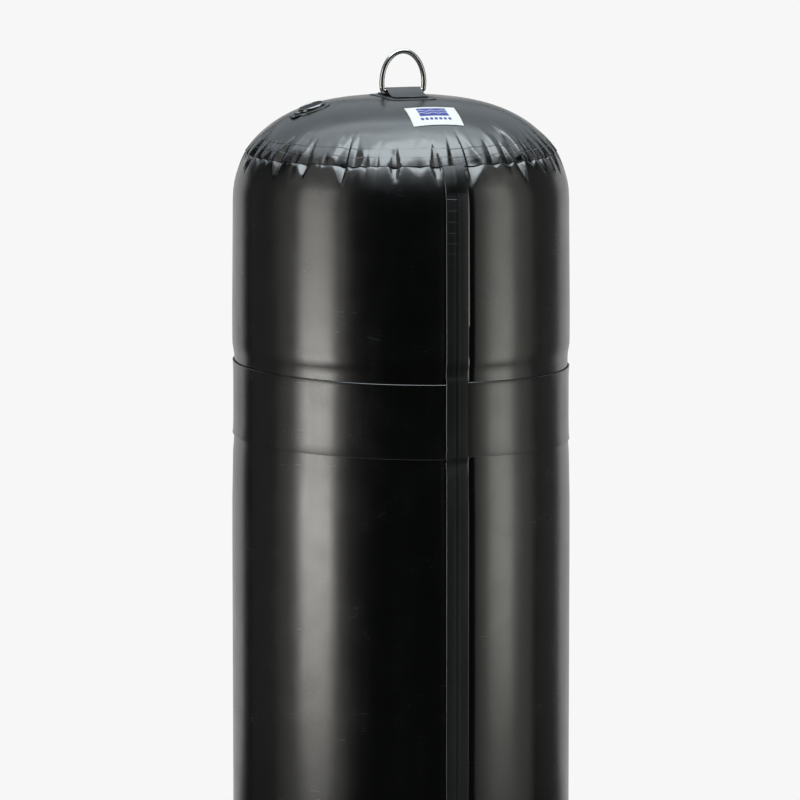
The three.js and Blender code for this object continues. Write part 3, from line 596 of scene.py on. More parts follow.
def seam_strip():
    """Lift = gap + (band's thickness + 2 gaps) * a step: 1 over the band, 0 from 8 mm beside it."""
    top = np.concatenate([[231.4], np.arange(236, 295, 5), [295]]) * MM
    drop = np.concatenate([np.arange(140, 325, 9), np.arange(325, 490, 3), np.linspace(498, 1360, 90)])
    arcs = np.concatenate([top, drop * MM + ARC_END - DROP_END, top[::-1]])
    bottoms = np.arange(len(arcs)) >= len(arcs) - len(top)
    _, drop, _ = profile(arcs)
    past = np.maximum(np.maximum(BAND_TOP - 1 * MM - drop, drop - BAND_TOP - BAND_HEIGHT - 1 * MM), 0)
    over = np.where(bottoms, 0, smooth_step(1 - past / (7 * MM)))
    lifts = GAP + (BAND_THICK + 2 * GAP) * over
    return front_tape("seam_cover_strip", arcs, lifts, bottoms, TAPE_THICK)


def seam_tab(name, bottom):
    """A short tape on top of the strip's end: lift = gap + the strip's thickness + gap."""
    arcs = np.concatenate([[231.2], np.arange(234, 268, 3), [268.2]]) * MM
    lifts = np.full(len(arcs), GAP + TAPE_THICK + GAP)
    return front_tape(name, arcs, lifts, np.full(len(arcs), bottom), SHEET, cells=16)


tapes = (
    (girth_band(), "girth_band"),
    (seam_strip(), "seam_strip"),
    (seam_tab("seam_tab_upper", False), "seam_tab_top"),
    (seam_tab("seam_tab_lower", True), "seam_tab_bottom"),
)
for piece, node in tapes:
    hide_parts(node)
    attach(piece, "fender")
    print(piece.name, len(piece.data.polygons) * 2, "triangles")

# %% [markdown]
# ## Patch under the ring
# A patch of the same sheet spreads the ring's pull over the crown. It is a plan with round corners
# laid over the dome: its distance from the axis gives the arc, and the arc gives the height, so it
# hugs the crown exactly.

# %% Patch
def over_dome(x, y, lift):
    """Points of the dome over a plan: the arc is that of the radius sqrt(x * x + y * y)."""
    radius = np.hypot(x, y)
    return body_point(arc_at_radius(radius), np.degrees(np.arctan2(x, -y)), lift=lift)


def base_patch():
    """Half its width is half_x less, near both ends, the inset corner - sqrt(corner ^ 2 - into ^ 2)."""
    half_x, half_y, corner = 33 * MM, 54 * MM, 14 * MM
    v = np.sin(np.linspace(-1, 1, 61) * math.pi / 2)
    w = np.sin(np.linspace(-1, 1, 31) * math.pi / 2)
    y = half_y * v
    into = np.maximum(np.abs(y) - (half_y - corner), 0)
    inset = corner - np.sqrt(np.maximum(corner ** 2 - into ** 2, (1.5 * MM) ** 2))
    x = RING_X + w[None, :] * (half_x - inset)[:, None]
    p, n = over_dome(x, np.broadcast_to(y[:, None], x.shape), SHEET + GAP)
    uv = np.stack([x / MM / 100, np.broadcast_to(y[:, None], x.shape) / MM / 100], -1)
    return slab("ring_patch", p, n, 0.45 * MM, uv, edge=0.9)


# %% [markdown]
# ## Strap over the ring's bar
# The strap lies flat on the patch, climbs, hugs the bar and comes down again. Its side view is
# worked out first: a line from the foot that touches the bar's circle, the circle's arc, and the
# same turned round. The plan then gives it its width and its round corners.

# %% Strap
def strap():
    """The line leaves the foot at the angle atan(rise / foot) + asin(hug / distance), which touches the
    circle of radius hug round the bar. The foot is eased by a bell and a smooth step."""
    half_x, half_y, foot, thick, corner = 24.4 * MM, 40 * MM, 19 * MM, 1.2 * MM, 8 * MM
    low = SHEET + GAP + 1.2 * MM + GAP
    hug = RING_WIRE + GAP
    rise = RING_BAR_RISE + SHEET - low
    lean = math.atan2(rise, foot) + math.asin(hug / math.hypot(foot, rise))
    tilt = np.linspace(lean, -lean, 25)
    arc_y, arc_h = -hug * np.sin(tilt), RING_BAR_RISE + SHEET + hug * np.cos(tilt)
    ease = np.linspace(0, 1, 9)
    y_in, h_in = arc_y[0], arc_h[0]
    foot_y = -foot - 5 * MM + ease * (5 * MM + foot + y_in)
    straight_h = low + np.clip((foot_y + foot) / (foot + y_in), 0, 1) * (h_in - low)
    blend = 1.2 * MM * np.exp(-((foot_y + foot) / (4 * MM)) ** 2)
    foot_h = straight_h + blend * (1 - ease ** 3)
    foot_t = lean * smooth_step((foot_y + foot + 4 * MM) / (8 * MM))
    flat_y = np.linspace(-half_y, -foot - 6 * MM, 14)
    y = np.concatenate([flat_y, foot_y[:-1], arc_y])
    h = np.concatenate([np.full(len(flat_y), low), foot_h[:-1], arc_h])
    t = np.concatenate([np.zeros(len(flat_y)), foot_t[:-1], tilt])
    half = len(flat_y) + len(foot_y) - 1
    y = np.concatenate([y, -y[:half][::-1]])
    h = np.concatenate([h, h[:half][::-1]])
    t = np.concatenate([t, -t[:half][::-1]])
    w = np.linspace(-1, 1, 33)
    into = np.maximum(np.abs(y) - (half_y - corner), 0)
    inset = corner - np.sqrt(np.maximum(corner ** 2 - into ** 2, (1 * MM) ** 2))
    x = RING_X + w[None, :] * (half_x - inset)[:, None]
    yy, hh, tt = (np.broadcast_to(q[:, None], x.shape) for q in (y, h, t))
    _, drop, _ = profile(arc_at_radius(np.hypot(x, yy)))
    p = np.stack([x, yy, LENGTH - drop + hh], -1)
    n = np.stack([0 * tt, -np.sin(tt), np.cos(tt)], -1)
    uv = np.stack([x / MM / 100, yy / MM / 100], -1)
    return slab("ring_loop_strap", p, n, thick, uv)


# %% [markdown]
# ## Lifting ring
# A D of round stainless wire: a straight bar under the strap, two tight bends and a tall arch. The
# wire is a circle carried along that path. It rides on its own body, which turns about the bar.

# %% Ring
def ring():
    """Arch: (half_w cos t, middle + half_h sin t). Bends: (1 - k) ^ 2 a + 2 k (1 - k) b + k ^ 2 c.
    Wire: a circle across the path's direction of travel."""
    half_w, half_h, middle, corner = 29.6, 42.0, 11.0, 4.1
    bar_end = half_w * math.sqrt(1 - (middle / half_h) ** 2)
    start = math.asin((corner * 0.9 - middle) / half_h)
    k = np.linspace(0, 1, 12)[:, None]
    a, b = np.array([[bar_end - corner, 0]]), np.array([[bar_end, 0]])
    c = np.array([[half_w * math.cos(start), middle + half_h * math.sin(start)]])
    bend = (1 - k) ** 2 * a + 2 * k * (1 - k) * b + k ** 2 * c
    t = np.linspace(start, math.pi / 2, 60)[1:]
    arch = np.stack([half_w * np.cos(t), middle + half_h * np.sin(t)], -1)
    right = np.concatenate([[[8, 0], [16, 0]], bend, arch])
    path = np.concatenate([right, (right[:-1] * [-1, 1])[::-1]]) * MM
    run = np.roll(path, -1, 0) - np.roll(path, 1, 0)
    run /= np.linalg.norm(run, axis=1, keepdims=True)
    turn = np.linspace(0, 2 * math.pi, 28, endpoint=False)
    out = np.stack([run[:, 1], 0 * run[:, 0], -run[:, 0]], -1)
    height = path[:, 1] + LENGTH + SHEET + RING_BAR_RISE
    centre = np.stack([path[:, 0] + RING_X, 0 * height, height], -1)
    circle = np.cos(turn)[None, :, None] * out[:, None] + np.sin(turn)[None, :, None] * np.array([0, 1, 0])
    verts = centre[:, None] + RING_WIRE * circle
    quads = grid_faces(len(path) + 1, 28, True) % (len(path) * 28)
    return outward(new_object("ring_wire", verts, quads, None, 60))


patch, loop_strap, wire_ring = base_patch(), strap(), ring()
for piece, node, slot, rides in ((patch, "ring_base_patch", "patch_sheet", "fender"),
                                 (loop_strap, "ring_strap", "patch_sheet", "fender"),
                                 (wire_ring, "lifting_ring", "ring_steel", "ring")):
    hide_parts(node)
    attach(piece, rides)
    print(piece.name, len(piece.data.polygons) * 2, "triangles")

# %% [markdown]
# ## Label
# A film label is a slab only 0.3 mm thick that follows the dome. It was stuck on by hand a little
# askew, so its four corners are given one by one and the film is stretched between them.

# %% Label
LABEL_CORNERS = np.array([[-30.5, 27], [38, 25.5], [34, -26.5], [-35, -25.5]]) * MM


def label():
    """Point (a, b) of the plan: the corners mixed by (1 - b)((1 - a) c0 + a c1) + b ((1 - a) c3 + a c2)."""
    corners = LABEL_CORNERS - [0, LABEL_OUT]
    a = np.linspace(0, 1, 41)[None, :, None]
    b = np.linspace(0, 1, 31)[:, None, None]
    plan = (1 - b) * ((1 - a) * corners[0] + a * corners[1]) + b * ((1 - a) * corners[3] + a * corners[2])
    p, n = over_dome(plan[..., 0], plan[..., 1], SHEET + GAP)
    uv = np.stack(np.broadcast_arrays(a[..., 0], 1 - b[..., 0]), -1)
    return slab("label_film", p, n, 0.3 * MM, uv)


sticker = label()
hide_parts("label")
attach(sticker, "fender")
print(sticker.name, len(sticker.data.polygons) * 2, "triangles")

# %% [markdown]
# ## Valve
# The valve stands square on the dome 125 mm out, where the surface slopes with sin(slope) = (out /
# radius) ^ 2. All its pieces are turned about that one axis, so a frame is set up once: x downhill,
# y across, z out of the dome.

# %% The valve's frame
slope = math.asin((VALVE_R / RADIUS) ** 2)
out = Vector((-math.sin(slope), 0, math.cos(slope)))
downhill = Vector((-out.z, 0, out.x))
across = out.cross(downhill)
_, valve_drop, _ = profile(arc_at_radius(VALVE_R))
spot = Vector((-VALVE_R, 0, LENGTH - float(valve_drop))) + out * SHEET
valve_frame = Matrix((downhill, across, out)).transposed().to_4x4()
valve_frame.translation = spot
print("the valve leans %.1f degrees" % math.degrees(slope))

# %% [markdown]
# The soft flange is welded to the sheet and has a lug for the cap's tab. Its plan is the farthest
# reach of a disc and of the lug's round end. Layers of that plan make the rounded rim and the low
# moulded ring inside it, and plain circles then run on over the collar and down the bore.

# %% Flange

def outline_disc(radius, lug_end, lug_half, nose, count=160):
    """A disc with a lug: the farthest reach in each direction of the disc and of the lug's round end."""
    turn = np.linspace(0, 2 * math.pi, count, endpoint=False)
    way = np.stack([np.cos(turn), np.sin(turn)], -1)
    reach = np.full(count, float(radius))
    far = lug_half - nose
    for cx, cy in [(x, y) for x in np.linspace(radius * 0.6, lug_end - nose, 12) for y in (-far, far)]:
        along = way @ np.array([cx, cy])
        off2 = cx * cx + cy * cy - along ** 2
        hit = np.where(off2 < nose * nose, along + np.sqrt(np.maximum(nose * nose - off2, 0)), 0)
        reach = np.maximum(reach, hit)
    return way * reach[:, None]


def valve_base():
    """Layers are (inset from the edge, height) and rounds are (radius, height), in millimetres."""
    edge = outline_disc(25, 32, 12, 8)
    layers = [(0.5, -1.5), (0, -1), (0, 0), (0.2, 0.35), (0.6, 0.5)]
    layers += [(2.6, 0.5), (2.9, 0.2), (3.4, 0.2), (3.7, 0.5)]
    count = len(edge)
    verts = []
    length = np.linalg.norm(edge, axis=1, keepdims=True)
    for inset, height in layers:
        verts.append(np.concatenate([edge * (length - inset) / length, np.full((count, 1), height)], 1))
    way = edge / length
    rounds = [(19.5, 0.5), (15.6, 0.5), (15.5, 0.6), (15.5, 1.3), (15.3, 1.5), (11.7, 1.5), (11.5, 1.3)]
    rounds += [(11.5, -13), (13.5, -13), (13.5, -1.5)]
    for radius, height in rounds:
        verts.append(np.concatenate([way * radius, np.full((count, 1), height)], 1))
    verts = np.concatenate(verts) * MM
    rows = len(layers) + len(rounds)
    quads = grid_faces(rows + 1, count, True) % (rows * count)
    return outward(new_object("valve_flange", placed(valve_frame, verts), quads, None, 30))


# %% [markdown]
# The cap is moulded in three parts of one piece: a glossy rim, a sunken dull middle and the pull
# tab. The rim's outline is a chain of short slopes, so that it catches one long line of light as
# the photo's does.

# %% Cap
def cap_piece():
    """Snap-on lid: a skirt and a raised, rounded rim."""
    return lathe("valve_lid", [
        (15.2, 4.2), (15.85, 4.2), (15.85, 0.9), (16.0, 0.8), (18.5, 0.8), (18.9, 1.2),
        (18.9, 2.4), (18.8, 2.9), (18.5, 3.6), (18.0, 4.3), (17.4, 4.8), (16.8, 5.1),
        (16.5, 5.1), (16.2, 4.9), (15.6, 4.2), (15.4, 4.1),
    ], valve_frame, 120, 60)


def cap_dish():
    """The lid's sunken middle, dull from moulding, with a small gate mark."""
    return lathe("valve_lid_middle", [
        (0, 3.5), (15.2, 3.5), (15.6, 3.7), (15.6, 4.1), (15.1, 4.3), (14.0, 4.0),
        (12.5, 3.9), (2.6, 3.9), (2.2, 4.1), (1.4, 4.2), (0, 4.2),
    ], valve_frame, 96)


def cap_tab():
    """The tab's plan, a strip with a round nose, drawn at six scales and heights."""
    turn = np.linspace(-math.pi / 2, math.pi / 2, 24)
    nose = np.stack([22.5 + 3 * np.cos(turn), 6 * np.sin(turn)], -1)
    edge = np.concatenate([[[17.2, 5.9]], nose[::-1], [[17.2, -5.9]]])[::-1]
    middle = np.array([20.0, 0.0])
    verts, rows = [], [(0.02, 0.8), (0.96, 0.8), (1.0, 1.0), (1.0, 2.1), (0.95, 2.4), (0.02, 2.4)]
    for scale, height in rows:
        ring_xy = middle + (edge - middle) * scale
        verts.append(np.concatenate([ring_xy, np.full((len(edge), 1), height)], 1))
    verts = placed(valve_frame, np.concatenate(verts) * MM)
    obj = new_object("valve_lid_tab", verts, grid_faces(len(rows), len(edge), True), None, 40)
    return outward(obj)


# %% [markdown]
# Under the cap a button on the poppet's stem lets air out when it is pushed, and a spring brings it
# back. Only the spring changes its shape as the button moves; here it is a coil wound along the
# valve's axis, built at rest, with a mesh of its own.

# %% Button and spring
def button_piece():
    """Rounded button with a shallow dish in its middle."""
    return lathe("valve_push_button", [
        (1.8, 0.9), (3.8, 0.9), (4, 1.1), (4, 2.4), (3.85, 2.7), (3.5, 2.9),
        (1.2, 2.9), (0.9, 2.75), (0, 2.7), (0, 2.5), (1.8, 2.5),
    ], valve_frame, 48)


def spring_piece():
    """Wire wound to four open turns: its middle is (2.9 cos a, 2.9 sin a, height) mm, with a height rising
    from -4.9 to 0.3. The wire's radius is 0.3 mm and falls to nothing at each end, which closes it."""
    turn = np.linspace(0, 8 * math.pi, 145)[[0, *range(145), 144]]
    rows = len(turn)
    height = np.interp(turn, [0, 8 * math.pi], [-4.9, 0.3])
    wire = np.where(np.arange(rows) % (rows - 1) == 0, 0, 0.3)[:, None, None]
    away = np.stack([np.cos(turn), np.sin(turn), 0 * turn], -1)
    up = np.array([0.0, 0.0, 1.0])
    around = np.linspace(0, 2 * math.pi, 12, endpoint=False)[None, :, None]
    centre = 2.9 * away + height[:, None] * up
    verts = centre[:, None] + wire * (np.cos(around) * away[:, None] + np.sin(around) * up)
    verts = placed(valve_frame, verts.reshape(-1, 3) * MM)
    obj = new_object("valve_coil", verts, grid_faces(rows, 12, True), None, 60)
    weld(obj)
    return outward(obj)


# %% [markdown]
# Each piece stands in for its solid and rides on that solid's body. The three parts of the cap move
# as one. The button goes down 4 mm, and the guide's top, on which the spring stands, is 5.5 mm
# under the frame's origin, so the coil keeps 0.36 of its length.

# %% The valve's pieces on their bodies
base, lid, middle, tab, push = valve_base(), cap_piece(), cap_dish(), cap_tab(), button_piece()
coil = spring_piece()
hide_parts("valve_spring")
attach(coil, "fender")
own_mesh(coil)
for piece, node, slot, rides in ((base, "valve_base", "valve_soft_black", "fender"),
                                 (lid, "valve_cap", "cap_gloss_black", "cap"),
                                 (middle, "valve_cap", "cap_gloss_black", "cap"),
                                 (tab, "valve_cap", "cap_gloss_black", "cap"),
                                 (push, "valve_button", "valve_hard_black", "poppet")):
    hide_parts(node)
    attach(piece, rides)
print("valve pieces:", *(piece.name for piece in (base, lid, middle, tab, push, coil)))

# %% [markdown]
# ## Materials
# Colours are given as they look on a screen and made linear: ((c + 0.055) / 1.055) ^ 2.4 above
# 0.04045. A small class keeps the node trees short. All patterns read the object's own coordinates
# in metres, so a noise scale of 1400 is a grain of about 0.7 mm on every piece.

# %% Colours and nodes
def linear(code):
    """A screen colour such as "#101214" as linear red, green, blue and alpha."""
    parts = [int(code[i:i + 2], 16) / 255 for i in (1, 3, 5)]
    return tuple(c / 12.92 if c <= 0.04045 else ((c + 0.055) / 1.055) ** 2.4 for c in parts) + (1.0,)


class Nodes:
    """A material's node tree with one short way to add and link nodes."""

    def __init__(self, name, **sockets):
        self.material = bpy.data.materials.new(name)
        self.material.use_nodes = True
        self.tree = self.material.node_tree
        self.shader = self.tree.nodes["Principled BSDF"]
        for key, value in sockets.items():
            self.shader.inputs[key.replace("_", " ")].default_value = value

    def add(self, kind, links=None, **settings):
        """A node. links joins its inputs to outputs, in_NAME sets an input and any other name a property."""
        node = self.tree.nodes.new(kind)
        for key, value in settings.items():
            if key.startswith("in_"):
                slot = key[3:]
                node.inputs[int(slot) if slot.isdigit() else slot.replace("_", " ")].default_value = value
            else:
                setattr(node, key, value)
        for slot, source in (links or {}).items():
            self.link(source, node.inputs[slot])
        return node

    def link(self, source, socket):
        self.tree.links.new(source if hasattr(source, "is_output") else source.outputs[0], socket)

    def noise(self, vector, scale, detail=3.0, rough=0.55):
        node = self.add("ShaderNodeTexNoise", {"Vector": vector},
                        in_Scale=scale, in_Detail=detail, in_Roughness=rough)
        return node.outputs["Fac"]

    def ramp(self, value, low, high, to_low=0.0, to_high=1.0):
        """A smooth step of value from low to high, giving to_low up to to_high."""
        return self.add("ShaderNodeMapRange", {"Value": value}, interpolation_type="SMOOTHSTEP",
                        in_1=low, in_2=high, in_3=to_low, in_4=to_high).outputs["Result"]

    def math(self, operation, a, b=None, clamp=False):
        node = self.add("ShaderNodeMath", operation=operation, use_clamp=clamp)
        for k, value in enumerate((a, b)):
            if value is None:
                continue
            if isinstance(value, (int, float)):
                node.inputs[k].default_value = value
            else:
                self.link(value, node.inputs[k])
        return node.outputs[0]

    def bump(self, height, strength, distance, normal=None):
        node = self.add("ShaderNodeBump", {"Height": height}, in_Strength=strength, in_Distance=distance)
        if normal is not None:
            self.link(normal, node.inputs["Normal"])
        return node.outputs["Normal"]

    def mix(self, factor, a, b):
        node = self.add("ShaderNodeMix", {"Factor": factor}, data_type="RGBA")
        node.inputs["A"].default_value = a
        node.inputs["B"].default_value = b
        return node.outputs["Result"]


# %% [markdown]
# ## Coated sheet
# The fender is polyester cloth under a thick black coating, as on inflatable boats. The coating
# gives soft, wide reflections, so its roughness is about 0.24, and an IOR of 2.14 stands for how
# strongly the lacquered skin reflects. Its black is nearly pure, so everything the eye sees is
# reflected. What breaks the reflections up is a faint wave from the cloth, streaks of wear, a few
# scratches and dust, and a grain too fine to see by itself.

# %% Coated sheet
SHEET_IOR = 2.14


def stretched(n, vector, x, y, z):
    """Object coordinates scaled by axis, which makes streaks."""
    return n.add("ShaderNodeMapping", {"Vector": vector}, in_Scale=(x, y, z)).outputs[0]


def coated_sheet(name, base, worn, rough_low, rough_high, waves):
    """Coated cloth: a fine skin, faint long waves that break up reflections, scuffs, scratches and dust.
    Scratches are the borders of stretched cells, kept where the cloudy noise is high. Dust is the middles of
    small cells."""
    n = Nodes(name, IOR=SHEET_IOR)
    where = n.add("ShaderNodeTexCoord").outputs["Object"]
    broad = n.noise(where, 6, 2)
    streak = n.noise(stretched(n, where, 30, 30, 2.2), 1, 4)
    cloudy = n.noise(where, 24, 4)
    grain = n.noise(where, 1400, 2)
    skin = n.noise(where, 260, 3)
    long_cells = {"Vector": stretched(n, where, 8, 8, 90)}
    scratches = n.add("ShaderNodeTexVoronoi", long_cells, feature="DISTANCE_TO_EDGE", in_Scale=1.0)
    scratch = n.ramp(scratches.outputs["Distance"], 0.0, 0.012, 1.0, 0.0)
    scratch = n.math("MULTIPLY", scratch, n.ramp(cloudy, 0.6, 0.7))
    dots = n.add("ShaderNodeTexVoronoi", {"Vector": where}, feature="F1", in_Scale=70.0)
    speck = n.ramp(dots.outputs["Distance"], 0.03, 0.05, 1.0, 0.0)
    pick = n.ramp(n.noise(where, 33, 1), 0.62, 0.66)
    speck = n.math("MULTIPLY", speck, pick)
    marks = n.math("ADD", n.math("MULTIPLY", scratch, 0.35), n.math("MULTIPLY", speck, 0.5), clamp=True)
    n.link(n.mix(marks, linear(base), linear(worn)), n.shader.inputs["Base Color"])
    worn_rough = n.ramp(cloudy, 0.35, 0.75, -0.01, 0.03)
    rough = n.math("ADD", n.ramp(streak, 0.3, 0.7, rough_low, rough_high), worn_rough)
    rough = n.math("ADD", rough, n.math("MULTIPLY", marks, 0.25), clamp=True)
    n.link(rough, n.shader.inputs["Roughness"])
    wave = n.math("ADD", n.math("MULTIPLY", broad, 1.0), n.math("MULTIPLY", cloudy, 0.12))
    normal = n.bump(wave, waves, 0.004)
    normal = n.bump(skin, 0.08, 0.0004, normal)
    normal = n.bump(grain, 0.06, 0.0001, normal)
    n.link(normal, n.shader.inputs["Normal"])
    return n


# %% [markdown]
# The weld round each end was pressed with a hot bar, which leaves two fine lines. They are drawn
# from the piece's own map, whose second number is the distance from the crown in metres, and wander
# a little as a hand-held bar does.

# %% The envelope's sheet
WELD_LINES = (0.2035, 0.2165)
WELD_CLEAR_AT = 0.455


def sheet_material():
    """A line is a ramp of |distance - line|, faded over the front, where it hardly shows."""
    n = coated_sheet("coated_sheet_black", "#020303", "#3A3E40", 0.21, 0.26, 0.12)
    uv = n.add("ShaderNodeUVMap", uv_map="run")
    arc = n.add("ShaderNodeSeparateXYZ", {"Vector": uv.outputs[0]}).outputs["Y"]
    drift = n.noise(n.add("ShaderNodeTexCoord").outputs["Object"], 9, 2)
    wander = n.math("MULTIPLY", n.math("SUBTRACT", drift, 0.5), 0.0022)
    arc = n.math("ADD", arc, wander)
    lines = None
    for line in WELD_LINES:
        ridge = n.ramp(n.math("ABSOLUTE", n.math("SUBTRACT", arc, line)), 0.0002, 0.0008, 1.0, 0.0)
        lines = ridge if lines is None else n.math("MAXIMUM", lines, ridge)
    turn = n.add("ShaderNodeSeparateXYZ", {"Vector": uv.outputs[0]}).outputs["X"]
    away = n.ramp(n.math("ABSOLUTE", n.math("SUBTRACT", turn, WELD_CLEAR_AT)), 0.03, 0.06, 0.12, 1.0)
    lines = n.math("MULTIPLY", lines, away)
    old = n.shader.inputs["Normal"].links[0].from_socket
    n.link(n.bump(lines, 0.8, 0.0006, old), n.shader.inputs["Normal"])
    return n.material


# %% [markdown]
# ## Tapes
# The tapes are the same coated cloth, cut in strips. The seam strip is duller and was welded in
# short steps, whose pressed marks cross its left half every 14.3 mm as low ridges, drawn paler as a
# painted highlight too. They are strongest near the top, as in the photo.

# %% Tapes
TICK_PITCH = 0.0143


def tape_material(name, ticks):
    """Cover tape: duller than the sheet. The seam strip has pressed weld marks across its left half: low
    ridges with a painted highlight in a paler colour.
    """
    base, low, high = ("#15191C", 0.30, 0.40) if ticks else ("#030404", 0.21, 0.27)
    n = coated_sheet(name, base, "#3A3E40", low, high, 0.08)
    if ticks:
        uv = n.add("ShaderNodeUVMap", uv_map="run").outputs[0]
        split = n.add("ShaderNodeSeparateXYZ", {"Vector": uv})
        across_tape, along = split.outputs["X"], split.outputs["Y"]
        uneven = n.math("MULTIPLY", n.noise(n.add("ShaderNodeTexCoord").outputs["Object"], 14, 1), 0.012)
        phase = n.math("FRACT", n.math("MULTIPLY", n.math("ADD", along, uneven), 1 / TICK_PITCH))
        tick_ridge_and_highlight = n.ramp(n.math("ABSOLUTE", n.math("SUBTRACT", phase, 0.5)), 0.02, 0.06, 1.0, 0.0)
        half = n.ramp(across_tape, 0.46, 0.50, 1.0, 0.0)
        strong = n.ramp(along, 0.11, 0.20, 1.0, 0.12)
        patchy = n.ramp(n.noise(n.add("ShaderNodeTexCoord").outputs["Object"], 11, 1), 0.45, 0.6, 0.25, 1.0)
        tick_ridge_and_highlight = n.math("MULTIPLY", n.math("MULTIPLY", tick_ridge_and_highlight, half), n.math("MULTIPLY", strong, patchy))
        old = n.shader.inputs["Normal"].links[0].from_socket
        n.link(n.bump(tick_ridge_and_highlight, 0.5, 0.0004, old), n.shader.inputs["Normal"])
        # Each mark is also mixed towards a paler grey: a painted highlight along its pressed ridge.
        colour = n.shader.inputs["Base Color"].links[0].from_socket
        share = n.math("MULTIPLY", tick_ridge_and_highlight, 0.22)
        pale = n.add("ShaderNodeMix", {"Factor": share, "A": colour}, data_type="RGBA")
        pale.inputs["B"].default_value = linear("#5E666A")
        n.link(pale.outputs["Result"], n.shader.inputs["Base Color"])
    return n.material


# %% [markdown]
# ## Metal and moulded pieces
# The ring is drawn and polished stainless steel: fully metallic, smooth, with a faint noise for the
# drawing marks. The valve's pieces are moulded: a soft flange, a hard glossy cap and rubber seals
# differ mainly in roughness. None is one flat value, because moulded plastic is always a little
# cloudy in its gloss.

# %% Ring, mouldings and spring
def ring_material():
    """Polished stainless wire with fine drawing marks."""
    n = Nodes("polished_stainless_wire", Base_Color=linear("#E4E4E2"), Metallic=1.0, IOR=2.0)
    where = n.add("ShaderNodeTexCoord").outputs["Object"]
    n.link(n.ramp(n.noise(where, 900, 3), 0.3, 0.7, 0.10, 0.2), n.shader.inputs["Roughness"])
    n.link(n.bump(n.noise(where, 420, 3), 0.06, 0.0002), n.shader.inputs["Normal"])
    return n.material


def moulded(name, colour, rough_low, rough_high, grain, ior=1.8):
    """Moulded plastic or rubber: slight cloudiness in its gloss and a fine grain."""
    n = Nodes(name, Base_Color=linear(colour), IOR=ior)
    where = n.add("ShaderNodeTexCoord").outputs["Object"]
    n.link(n.ramp(n.noise(where, 160, 3), 0.3, 0.7, rough_low, rough_high), n.shader.inputs["Roughness"])
    n.link(n.bump(n.noise(where, 1500, 2), grain, 0.0001), n.shader.inputs["Normal"])
    return n.material


def spring_material():
    """Bright drawn wire: metallic, a little rougher than the ring."""
    n = Nodes("bright_spring_wire", Base_Color=linear("#BFC2C4"), Metallic=1.0)
    where = n.add("ShaderNodeTexCoord").outputs["Object"]
    n.link(n.ramp(n.noise(where, 2000, 2), 0.3, 0.7, 0.2, 0.32), n.shader.inputs["Roughness"])
    return n.material


# %% [markdown]
# ## Label print
# White printed film. Its motif is this model's own: a blue field crossed by two white waves over a
# row of bars. It is built from smooth bands on the label's map, which stay sharp at any distance,
# where a picture would blur.

# %% Label print
def label_material():
    """Ink = field * (1 - waves), or the row of bars where that is more. A wave is a band of y - sin(x)."""
    n = Nodes("white_label_film", IOR=1.45)
    uv = n.add("ShaderNodeUVMap", uv_map="run").outputs[0]
    split = n.add("ShaderNodeSeparateXYZ", {"Vector": uv})
    x, y = split.outputs["X"], split.outputs["Y"]

    def band(value, middle, half, soft=0.01):
        """1 within half of the middle, 0 outside."""
        away = n.math("ABSOLUTE", n.math("SUBTRACT", value, middle))
        return n.ramp(away, half - soft, half + soft, 1.0, 0.0)

    field = n.math("MULTIPLY", band(x, 0.5, 0.29), band(y, 0.66, 0.24))
    ripple = n.math("MULTIPLY", n.math("SINE", n.math("MULTIPLY", x, 2 * math.pi * 4.5)), 0.035)
    level = n.math("SUBTRACT", y, ripple)
    waves = n.math("MAXIMUM", band(level, 0.60, 0.012), band(level, 0.74, 0.012))
    ink = n.math("MULTIPLY", field, n.math("SUBTRACT", 1.0, waves))
    comb = band(n.math("FRACT", n.math("MULTIPLY", x, 11.0)), 0.5, 0.33, 0.05)
    row = n.math("MULTIPLY", n.math("MULTIPLY", band(x, 0.5, 0.32), band(y, 0.28, 0.055)), comb)
    ink = n.math("MAXIMUM", ink, row)
    n.link(n.mix(ink, linear("#F3F0EA"), linear("#3C46A0")), n.shader.inputs["Base Color"])
    where = n.add("ShaderNodeTexCoord").outputs["Object"]
    n.link(n.ramp(n.noise(where, 90, 3), 0.3, 0.7, 0.36, 0.5), n.shader.inputs["Roughness"])
    n.link(n.bump(n.noise(where, 60, 2), 0.15, 0.0004), n.shader.inputs["Normal"])
    return n.material


# %% [markdown]
# ## Which piece wears what
# Each piece gets one material. The solids that stay as they are, inside the valve, get theirs too.

# %% Dress the pieces
def dress(obj, material):
    """Gives an object one material in place of any it had."""
    obj.data.materials.clear()
    obj.data.materials.append(material)


dress(body, sheet_material())
plain_tape = tape_material("cover_tape_black", False)
seam_tape = tape_material("seam_tape_black", True)
for piece, node in tapes:
    dress(piece, seam_tape if node == "seam_strip" else plain_tape)
patch_black = coated_sheet("patch_sheet_black", "#0A0B0C", "#4A4E50", 0.38, 0.48, 0.12).material
dress(patch, patch_black)
dress(loop_strap, patch_black)
dress(wire_ring, ring_material())
dress(sticker, label_material())
# The flange's dark grey, paler than its black plastic, is painted sheen: it stands for the grey light along
# the flange's top.
soft_black_painted_sheen = moulded("soft_valve_black_painted_sheen", "#2A2E30", 0.26, 0.36, 0.10, 2.2)
hard_black = moulded("moulded_black", "#0D0E0F", 0.25, 0.35, 0.08)
gloss_black = moulded("gloss_cap_black", "#060707", 0.08, 0.13, 0.03, 2.8)
dull_black = moulded("dull_cap_middle", "#040404", 0.55, 0.7, 0.15, 1.5)
seal_black = moulded("seal_rubber_black", "#1C1D1E", 0.55, 0.7, 0.2)
for piece, material in ((base, soft_black_painted_sheen), (lid, gloss_black), (middle, dull_black), (tab, gloss_black),
                        (push, hard_black), (coil, spring_material())):
    dress(piece, material)
for node in ("valve_insert", "valve_poppet"):
    dress(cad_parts[node], hard_black)
for node in ("valve_insert_seal", "valve_poppet_seal", "valve_cap_seal"):
    dress(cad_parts[node], seal_black)
print(len(bpy.data.materials), "materials")

